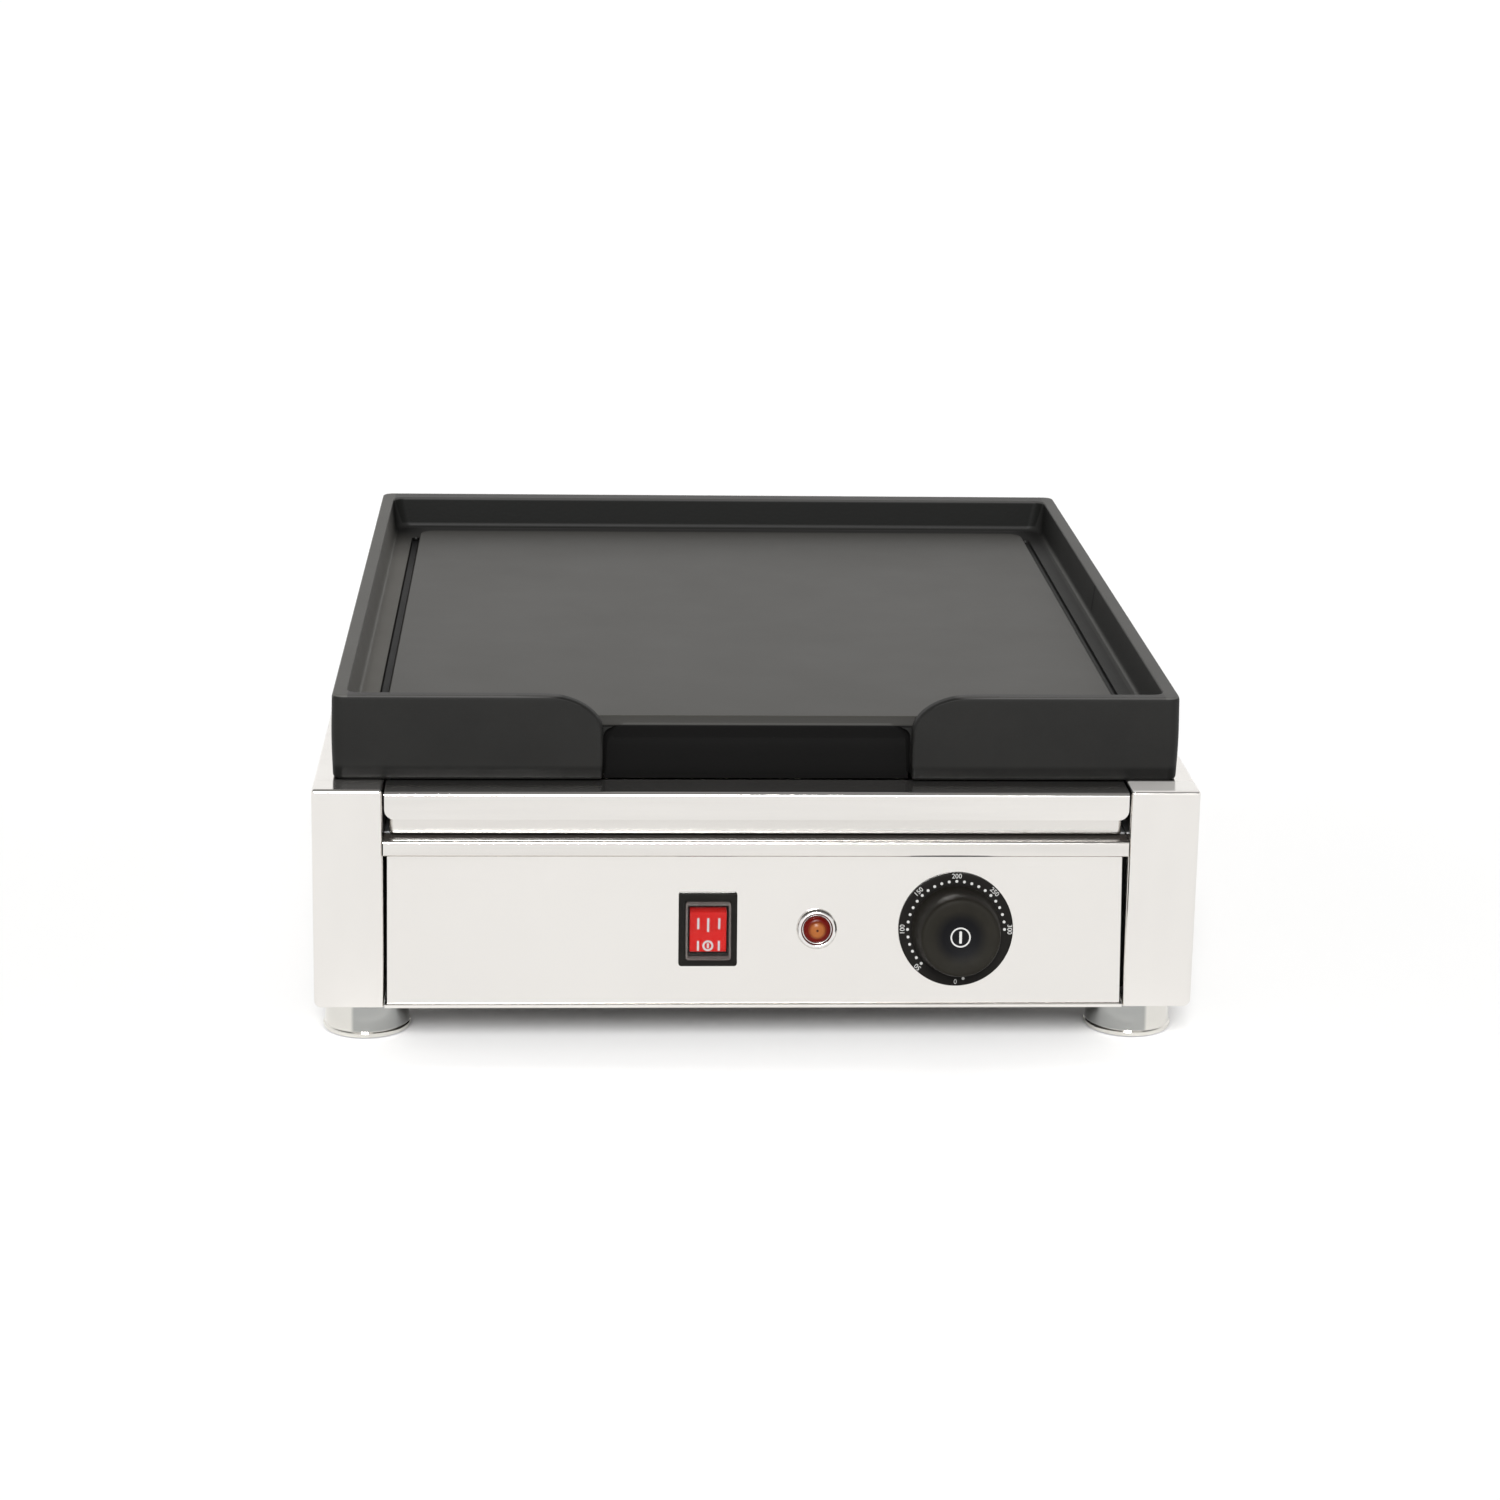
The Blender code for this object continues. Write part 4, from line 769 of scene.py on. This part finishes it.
def make_plate():
    """The cast plate, with the soft edges that a casting has."""
    front, back, side = PLATE_FRONT, PLATE_BACK, PLATE_HALF_WIDTH
    profile = [
        (0.182, 0.036, 0.436, 0.034, SLAB_BOTTOM, 0),
        (0.1826, 0.0354, 0.4366, 0.034, PLATE_BOTTOM, 0.0012),
        (side - 0.0008, front + 0.0006, back - 0.0006, 0.005, PLATE_BOTTOM, 0.0022),
        (side - 0.0002, front + 0.0002, back - 0.0002, 0.005, PLATE_BOTTOM + 0.018, 0.008),
        (side - 0.0007, front + 0.0006, back - 0.0005, 0.005, PLATE_TOP, 0.0024),
        (0.185, 0.0214, 0.4328, 0.006, PLATE_TOP, 0.0016),
        (0.1832, 0.0231, 0.4307, 0.008, GUTTER_Z, 0.003),
        (0.1693, 0.0274, 0.4082, 0.008, GUTTER_Z, 0.001),
        (GRIDDLE_HALF_WIDTH + 0.0003, 0.0304, 0.4072, 0.008, GRIDDLE_Z, 0.001),
        (GRIDDLE_HALF_WIDTH - 0.006, 0.037, 0.4, 0.006, GRIDDLE_Z, 0),
    ]
    solid = loft([plate_ring(*ring) for ring in softened(profile, 5)])

    half = NOTCH_HALF_WIDTH
    wall_front = PLATE_FRONT + 0.0006

    def notch_outline(wider, deeper):
        side, reach = half + wider, 0.0012
        edge = []
        for angle in (0, 22, 45, 68):
            bend = radians(angle)
            edge.append(Vector((side + reach - reach * sin(bend),
                                wall_front + reach - reach * cos(bend))))
        edge = [Vector((side + reach, 0.006))] + edge
        corner = [(-side, NOTCH_DEPTH + deeper, 0.005), (side, NOTCH_DEPTH + deeper, 0.005)]
        turn = rounded([(-side, 0.0, 0)] + corner + [(side, 0.0, 0)], 8)[1:-1]
        return [Vector((-x, depth)) for x, depth in edge] + turn + edge[::-1]

    shoulder = 0.0047
    levels = [(PLATE_BOTTOM - 0.005, 0.0012, 0.0012), (PLATE_BOTTOM, 0.001, 0.001),
              (PLATE_BOTTOM + 0.0006, 0.0003, 0.0003), (PLATE_BOTTOM + 0.0016, 0.0, 0.0)]
    for step in range(8):
        rise = radians(80) * step / 7
        deeper = 0.0003 * max(step - 5, 0) / 2
        levels.append((GUTTER_Z - shoulder * (1 - sin(rise)), -shoulder * (1 - cos(rise)), deeper))
    levels += [(GUTTER_Z + 0.0006, -shoulder, 0.0006), (PLATE_TOP + 0.005, -shoulder, 0.0006)]
    notch = [ring_at(notch_outline(wider, deeper), z, "Z") for z, wider, deeper in levels]
    solid = carved(solid, loft(notch))

    nose = softened([(0.03, 0.1462, 0), (NOTCH_DEPTH + 0.0001, 0.1462, 0.0006), (0.0265, 0.142, 0.004),
                     (0.0262, PLATE_BOTTOM - 0.0024, 0.0003), (0.029, PLATE_BOTTOM - 0.0024, 0.001),
                     (0.032, 0.131, 0)])
    solid = carved(solid, prism(nose, -(half - 0.0006), half - 0.0006, "X"), "UNION")

    wide, tall = 0.027, 0.0172

    def ear_outline(ease):
        curve = []
        for step in range(17):
            angle = radians(90) * step / 16
            curve.append((half + wide - (wide - ease) * cos(angle),
                          PLATE_TOP - tall + (tall - ease) * sin(angle)))
        shape = [(half + ease, GUTTER_Z - 0.006)] + curve
        shape += [(half + wide + 0.012, PLATE_TOP - ease * 0.6), (half + wide + 0.012, PLATE_TOP + 0.005)]
        return [(-x, z) for x, z in shape] + shape[::-1]

    stations = [(0.01, 0.0016), (PLATE_FRONT + 0.0002, 0.0016), (PLATE_FRONT + 0.0005, 0.001),
                (PLATE_FRONT + 0.001, 0.0005), (PLATE_FRONT + 0.0017, 0.00015), (PLATE_FRONT + 0.0026, 0.0),
                (0.0206, 0.0), (0.0215, 0.0002), (0.0222, 0.0006), (0.0228, 0.0012), (0.0236, 0.0016)]
    solid = carved(solid, loft([ring_at(ear_outline(ease), depth, "Y") for depth, ease in stations]))

    grooves = []
    for sign in (-1, 1):
        xs = sorted((sign * 0.1696, sign * 0.1734))
        wide_cut = rectangle(xs[0] - 0.0004, 0.0306, xs[1] + 0.0004, 0.4064, 0.0022, 6)
        cut = rectangle(xs[0], 0.031, xs[1], 0.406, 0.0018, 6)
        floor = rectangle(xs[0] + 0.0006, 0.0316, xs[1] - 0.0006, 0.4054, 0.0012, 6)
        grooves.append(loft([ring_at(floor, GUTTER_Z - 0.0017, "Z"), ring_at(cut, GUTTER_Z - 0.0011, "Z"),
                             ring_at(cut, GUTTER_Z - 0.0004, "Z"), ring_at(wide_cut, GUTTER_Z + 0.0001, "Z"),
                             ring_at(wide_cut, GUTTER_Z + 0.0015, "Z")]))
    solid = carved(solid, gather(grooves))

    holes = [round_hole(x, depth, PLATE_BOTTOM - 0.002, PLATE_BOTTOM + 0.012, BOLT_RADIUS + GAP)
             for x in (-PLATE_BOLT_X, PLATE_BOLT_X) for depth in PLATE_BOLT_DEPTHS]
    holes += [round_hole(x, depth, SLAB_BOTTOM - 0.002, SLAB_BOTTOM + 0.005, BOLT_RADIUS + GAP)
              for x in (-CLAMP_BOLT_X, CLAMP_BOLT_X) for depth in CLAMP_DEPTHS]
    solid = carved(solid, gather(holes))
    piece("plate", solid, "cast_iron", ["griddle_plate"], sharp=50)


def make_tray():
    """The pan and its handle strip, on the sliding body."""
    half, front, back = TRAY_HALF_WIDTH, TRAY_FRONT, TRAY_BACK
    profile = [(half - 0.008, front + 0.008, back - 0.008, 0.001, TRAY_BOTTOM, 0),
               (half, front, back, 0.0022, TRAY_BOTTOM, 0.0016),
               (half, front, back, 0.0022, TRAY_RIM, 0.0003),
               (half - SHEET, front + SHEET, back - SHEET, 0.0012, TRAY_RIM, 0.0003),
               (half - SHEET, front + SHEET, back - SHEET, 0.0012, TRAY_BOTTOM + SHEET, 0.0012),
               (half - 0.008, front + 0.008, back - 0.008, 0.001, TRAY_BOTTOM + SHEET, 0)]
    piece("pan", loft([plate_ring(*ring) for ring in softened(profile)]), "steel_pan",
          ["grease_tray"], body="tray")
    corner = 0.0045
    stations = [(HANDLE_HALF_WIDTH, HANDLE_LIP + corner)]
    for step in range(1, 11):
        angle = radians(90) * step / 10
        stations.append((HANDLE_HALF_WIDTH - corner + corner * cos(angle),
                         HANDLE_LIP + corner - corner * sin(angle)))
    stations += [(-x, lip) for x, lip in stations[::-1]]
    rings = []
    for x, lip in stations:
        path = [(0.0, lip), (0.0, HANDLE_TOP), (0.02, HANDLE_TOP)]
        rings.append(ring_at(folded(path, 0.0022, SHEET, 8), x, "X"))
    piece("pull_strip", loft(rings), "steel_strip", ["tray_handle"], body="tray")


def make_switch():
    """The switch case, the rocker with its printed signs, and the clear cover with its skirt."""
    def ring(half_x, half_y, radius, z):
        return ring_at(rectangle(-half_x, -half_y, half_x, half_y, radius, 6), z, "Z")

    place = on_panel(SWITCH_X)
    rocker_half = 0.00958
    bezel = softened([(0.0104, 0.0144, 0.001, -0.024, 0), (0.0108, 0.0148, 0.001, -0.023, 0.0004),
                      (0.0108, 0.0148, 0.001, GAP, 0), (0.0133, 0.0169, 0.0012, GAP, 0),
                      (0.0133, 0.0169, 0.0012, BEZEL_FACE, 0.0009),
                      (0.0104, 0.0132, 0.001, BEZEL_FACE, 0.0001),
                      (0.0103, 0.0131, 0.0012, 0.0021, 0.0001), (0.0089, 0.0107, 0.0008, 0.0021, 0.0003),
                      (0.0087, 0.0105, 0.0006, -0.0076, 0)])
    piece("switch_case", loft([ring(*values) for values in bezel]), "black_plastic",
          ["switch_housing"], place)

    def face_z(y):
        return BEZEL_FACE + 0.00109 * (abs(y) / rocker_half) ** 1.3

    arc = 0.0102
    upper = [(arc * cos(radians(a)), arc * sin(radians(a))) for a in (-25, -12, 0, 10, 17)]
    rows = [rocker_half - 2 * rocker_half * step / 24 for step in range(25)]
    lower = [(-y, z) for y, z in upper[::-1]]
    profile = upper + [(y, face_z(y)) for y in rows] + lower + [(-0.005, -0.0055), (0.005, -0.0055)]
    pressed = Matrix.Rotation(ROCKER_PRESS, 4, "X")
    rings = []
    for x, inset in ((-0.0084, 0.0005), (-0.0082, 0.0001), (-0.0079, 0.0), (0.0079, 0.0), (0.0082, 0.0001),
                     (0.0084, 0.0005)):
        shrink = 1 - inset / 0.0095
        rings.append([(x, y * shrink, z - inset if z > 0 else z) for y, z in profile])
    body = loft(rings)
    body.transform(pressed)
    spot = place @ Matrix.Translation((0, 0, 0.0005))
    piece("rocker", body, "red", ["switch_rocker"], spot, "rocker")

    raised, sunk = 0.00006, -0.0001

    def on_face(x, y, lift):
        return (x, y, face_z(y) + lift)

    def bar(middle, low, high):
        """A thin raised line on the rocker's face, bent over its curve."""
        left, right = middle - 0.00048, middle + 0.00048
        rings = []
        for step in range(7):
            y = low + (high - low) * step / 6
            rings.append([on_face(left, y, raised), on_face(right, y, raised), on_face(right, y, sunk),
                          on_face(left, y, sunk)])
        return loft(rings)

    def ring_mark(y, radius, width):
        rings = []
        inner = radius - width
        for reach, lift in ((radius, sunk), (radius, raised), (inner, raised), (inner, sunk)):
            spots = circle(0.0, y, reach, 40)
            rings.append([on_face(spot.x, spot.y, lift) for spot in spots])
        return loft(rings, True)

    marks = gather([bar(0.0, -0.0004, 0.0066), bar(0.005, 0.001, 0.0066), bar(-0.0045, 0.001, 0.0066),
                    bar(-0.0045, -0.0092, -0.0046), bar(0.005, -0.0092, -0.0046),
                    ring_mark(-0.0069, 0.0025, 0.0009), bar(0.0, -0.008, -0.0058)])
    marks.transform(pressed)
    piece("rocker_marks", marks, "white_print", (), spot, "rocker", weighted=False)

    cover = softened([(0.0085, 0.011, 0.0008, 0.0076, 0), (0.0102, 0.01295, 0.0012, 0.0076, 0),
                      (0.0102, 0.01295, 0.0012, 0.0084, 0.001), (0.0085, 0.011, 0.0008, 0.0084, 0)])
    piece("splash_cover", loft([ring(*values) for values in cover]), "clear",
          ["switch_cover"], place)
    # the skirt is painted lighter and less clear than the cover: painted highlight along its edges
    skirt = [(0.0094, 0.01215, 0.0008, 0.00755), (0.0094, 0.01215, 0.0008, 0.0027),
             (0.0102, 0.01295, 0.0012, 0.0027), (0.0102, 0.01295, 0.0012, 0.00755)]
    piece("splash_skirt", loft([ring(*values) for values in skirt], True), "clear_edge_highlight", (),
          place)


def make_pilot():
    """The pilot lamp's case and its lens, which keeps its own axes for its rings of colour."""
    place = on_panel(PILOT_X)
    body = softened([(0, -0.022, 0), (0.005, -0.022, 0.0004), (0.006, -0.021, 0.0004), (0.006, GAP, 0),
                     (0.00925, GAP, 0.0001), (0.00925, 0.0013, 0.0006), (0.0084, 0.0024, 0.0006),
                     (0.0074, 0.0027, 0.0004), (0.0067, 0.0019, 0.0003), (0.0067, 0.001, 0), (0, 0.001, 0)])
    piece("pilot_case", turned(body, 72), "ring_chrome", ["pilot_body"], place)
    lens = softened([(0, 0.0013, 0), (0.0063, 0.0013, 0), (0.0063, 0.0022, 0.0003), (0.0053, 0.0037, 0.0009),
                     (0.004, 0.004, 0.0004), (0.0036, 0.0046, 0.0004), (0.0018, 0.0052, 0.0008),
                     (0.0004, 0.0052, 0.0001), (0, 0.0049, 0)])
    piece("pilot_jewel", turned(lens, 72), "lamp_lens", ["pilot_lens"], place, own_axes=True)


def text_solid(words, size, thickness):
    """Lettering as a closed thin solid, centred on its own middle."""
    curve = bpy.data.curves.new("lettering", "FONT")
    curve.body = words
    curve.size = size
    curve.align_x = "CENTER"
    curve.align_y = "CENTER"
    curve.extrude = thickness / 2
    curve.resolution_u = 4
    thing = bpy.data.objects.new("lettering", curve)
    bpy.context.collection.objects.link(thing)
    shape = bpy.data.meshes.new_from_object(thing.evaluated_get(bpy.context.evaluated_depsgraph_get()))
    solid = bmesh.new()
    solid.from_mesh(shape)
    bmesh.ops.remove_doubles(solid, verts=solid.verts, dist=0.000001)
    bpy.data.objects.remove(thing)
    bpy.data.curves.remove(curve)
    bpy.data.meshes.remove(shape)
    return solid


def make_thermostat():
    """The dial with its dots and numbers, and the knob with its mark."""
    place = on_panel(KNOB_X)
    dial = softened([(0.004, GAP, 0), (0.0262, GAP, 0.0002), (0.0262, DIAL_FACE, 0.0008),
                     (0.004, DIAL_FACE, 0)])
    screws = gather([round_hole(side * DIAL_SCREW_X, 0, -0.002, 0.004, DIAL_SCREW_HOLE) for side in (-1, 1)])
    piece("dial", carved(turned(dial, 128, True), screws), "black_plastic",
          ["thermostat_dial"], place)

    marks = []
    for turn, reach in [(225 - 9 * index, 0.0222) for index in range(26)] + [(-81, 0.023)]:
        angle = radians(turn)
        marks.append(round_hole(reach * cos(angle), reach * sin(angle), DIAL_FACE - 0.00003,
                                DIAL_FACE + 0.00004, 0.00066, 16))
    numbers = [(50 * (index + 1), 45 * (3 - index), 0.0245) for index in range(6)] + [(0, 180, 0.024)]
    for number, turn, reach in numbers:
        solid = text_solid(str(number), 0.0031, 0.00008)
        solid.transform(Matrix.Rotation(radians(turn), 4, "Z") @ Matrix.Translation((0, reach, DIAL_FACE)))
        marks.append(solid)
    piece("dial_marks", gather(marks), "white_print", (), place, weighted=False)

    knob = softened([(0, 0.0155, 0), (0.0034, 0.0155, 0), (0.0034, 0.0042, 0), (0.0056, 0.0042, 0),
                     (0.0056, 0.014, 0), (0.0168, 0.014, 0), (0.0186, 0.0024, 0.0002),
                     (0.0205, 0.0024, 0.0004), (0.0205, 0.004, 0.001), (0.0192, 0.009, 0.004),
                     (0.0186, 0.018, 0.003), (0.0176, KNOB_HEIGHT, 0.0022), (0.014, 0.0219, 0.002),
                     (0.0102, 0.0211, 0.0024), (0.006, 0.0202, 0.002), (0, 0.02, 0)], 6)
    piece("knob", turned(knob, 128), "knob_black", ["thermostat_knob"], place, "knob")
    badge = [turned([(0.0039, 0.01998), (0.0039, 0.02016), (0.0047, 0.02016), (0.0047, 0.01998)], 64, True),
             prism(rectangle(-0.0006, -0.0028, 0.0006, 0.0028, 0.0004, 4), 0.0199, 0.02014, "Z")]
    piece("knob_mark", gather(badge), "white_print", (), place, "knob", weighted=False)


def make_gland():
    """The cable gland on the rear panel, and its ribbed cap."""
    place = on_back(GLAND_X, GLAND_Z)
    body = softened([(0.0045, -0.011, 0), (0.0078, -0.011, 0.0004), (0.0078, GAP, 0),
                     (0.011, GAP, 0.0002), (0.011, 0.005, 0.0005), (0.008, 0.005, 0),
                     (0.008, 0.0078, 0.0003), (0.0045, 0.0078, 0)])
    piece("gland", turned(body, 64, True), "black_plastic", ["cable_gland"], place)
    cap = softened([(0.0084, 0.0054, 0), (0.0103, 0.0054, 0.0003), (0.0103, 0.011, 0.0008),
                    (0.0086, 0.0142, 0.001), (0.0072, GLAND_REACH, 0.0003), (0.0048, GLAND_REACH, 0.0003),
                    (0.0048, 0.0082, 0), (0.0084, 0.0082, 0)])

    def ribs(angle, z):
        return 1.0 - 0.012 * (1 - cos(18 * angle)) if 0.0056 < z < 0.014 else 1.0

    piece("gland_nut", turned(cap, 144, True, wave=ribs), "black_plastic",
          ["gland_cap"], place)


make_columns()
make_rear_panel()
make_front()
make_feet()
make_plate()
make_tray()
make_switch()
make_pilot()
make_thermostat()
make_gland()

# CAD nodes that keep their own shape
KEPT = {
    "steel_base": ["base_plate"],
    "galvanised": ["heat_shield", "element_clamp_front", "element_clamp_rear", "tray_rail_left",
                   "tray_rail_right", "thermostat_body"],
    "zinc": ["foot_nut_front_left", "foot_nut_front_right", "foot_nut_rear_left", "foot_nut_rear_right",
             "plate_bolt_1", "plate_bolt_2", "plate_bolt_3", "plate_bolt_4", "clamp_bolt_1", "clamp_bolt_2",
             "clamp_bolt_3", "clamp_bolt_4", "thermostat_screw_1", "thermostat_screw_2", "thermostat_shaft"],
    "sheath": ["heating_element_left", "heating_element_right"],
    "black_plastic": ["pilot_nut", "gland_locknut"],
    "cream": ["terminal_block"],
    "copper": ["thermostat_capillary"],
    "fibre": ["insulation_blanket"],
    "brown_wire": ["wire_supply", "wire_thermostat"],
    "blue_wire": ["wire_neutral", "wire_pilot"],
    "white_wire": ["wire_element", "wire_link"],
}
for look, names in KEPT.items():
    for name in names:
        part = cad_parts[name]
        part.data.materials.clear()
        part.data.materials.append(LOOKS[look])


# Floor, light and camera

def make_floor():
    half = 8.0
    mesh = bpy.data.meshes.new("floor")
    mesh.from_pydata([(-half, -half, 0), (half, -half, 0), (half, half, 0), (-half, half, 0)], [],
                     [(0, 1, 2, 3)])
    floor = bpy.data.objects.new("floor", mesh)
    bpy.context.collection.objects.link(floor)
    material, shader = graph("floor")[:2]
    shader.inputs["Base Color"].default_value = (0.96, 0.96, 0.96, 1.0)
    shader.inputs["Specular IOR Level"].default_value = 0.0
    shader.inputs["Roughness"].default_value = 0.9
    mesh.materials.append(material)


def make_light():
    """Soft surroundings, brightest near the horizon and seen as pure white, with a broad low sun in front."""
    world = bpy.data.worlds.new("studio")
    world.use_nodes = True
    tree = world.node_tree
    around = tree.nodes["Background"]
    around.inputs["Color"].default_value = (1.0, 0.995, 0.985, 1.0)
    height = axes(node(tree, "TexCoord").outputs["Generated"])["Z"]
    feed(ranged(height, 0.42, 0.62, 1.04, 0.26), around.inputs["Strength"])
    backdrop = node(tree, "Background", Color=(1.0, 1.0, 1.0, 1.0), Strength=1.0)
    choice = node(tree, "MixShader", Fac=node(tree, "LightPath").outputs["Is Camera Ray"])
    feed(around.outputs[0], choice.inputs[1])
    feed(backdrop.outputs[0], choice.inputs[2])
    feed(choice.outputs[0], tree.nodes["World Output"].inputs["Surface"])
    bpy.context.scene.world = world
    data = bpy.data.lights.new("key", "SUN")
    data.energy = 3.75
    data.angle = radians(17)
    key = bpy.data.objects.new("key", data)
    key.rotation_euler = (radians(90 - 31), 0.0, radians(-4))
    bpy.context.collection.objects.link(key)


def make_camera():
    """The camera that was fitted to the photo, with a small shift for its straightened verticals."""
    yaw, pitch, roll = (radians(angle) for angle in (3.127, 13.938, 1.024))
    ahead = Vector((sin(yaw) * cos(pitch), cos(yaw) * cos(pitch), -sin(pitch)))
    level = Vector((cos(yaw), -sin(yaw), 0.0))
    above = level.cross(ahead)
    right = level * cos(roll) + above * sin(roll)
    up = above * cos(roll) - level * sin(roll)
    data = bpy.data.cameras.new("camera")
    data.sensor_width = 36.0
    data.lens = 81.26
    data.shift_y = -0.1
    data.clip_start = 0.05
    camera = bpy.data.objects.new("camera", data)
    pose = Matrix((right, up, -ahead)).transposed().to_4x4()
    pose.translation = (-0.0849, -1.6783, 0.5776)
    camera.matrix_world = pose
    bpy.context.collection.objects.link(camera)
    bpy.context.scene.camera = camera


make_floor()
make_light()
make_camera()
bpy.context.scene.view_settings.view_transform = "Standard"
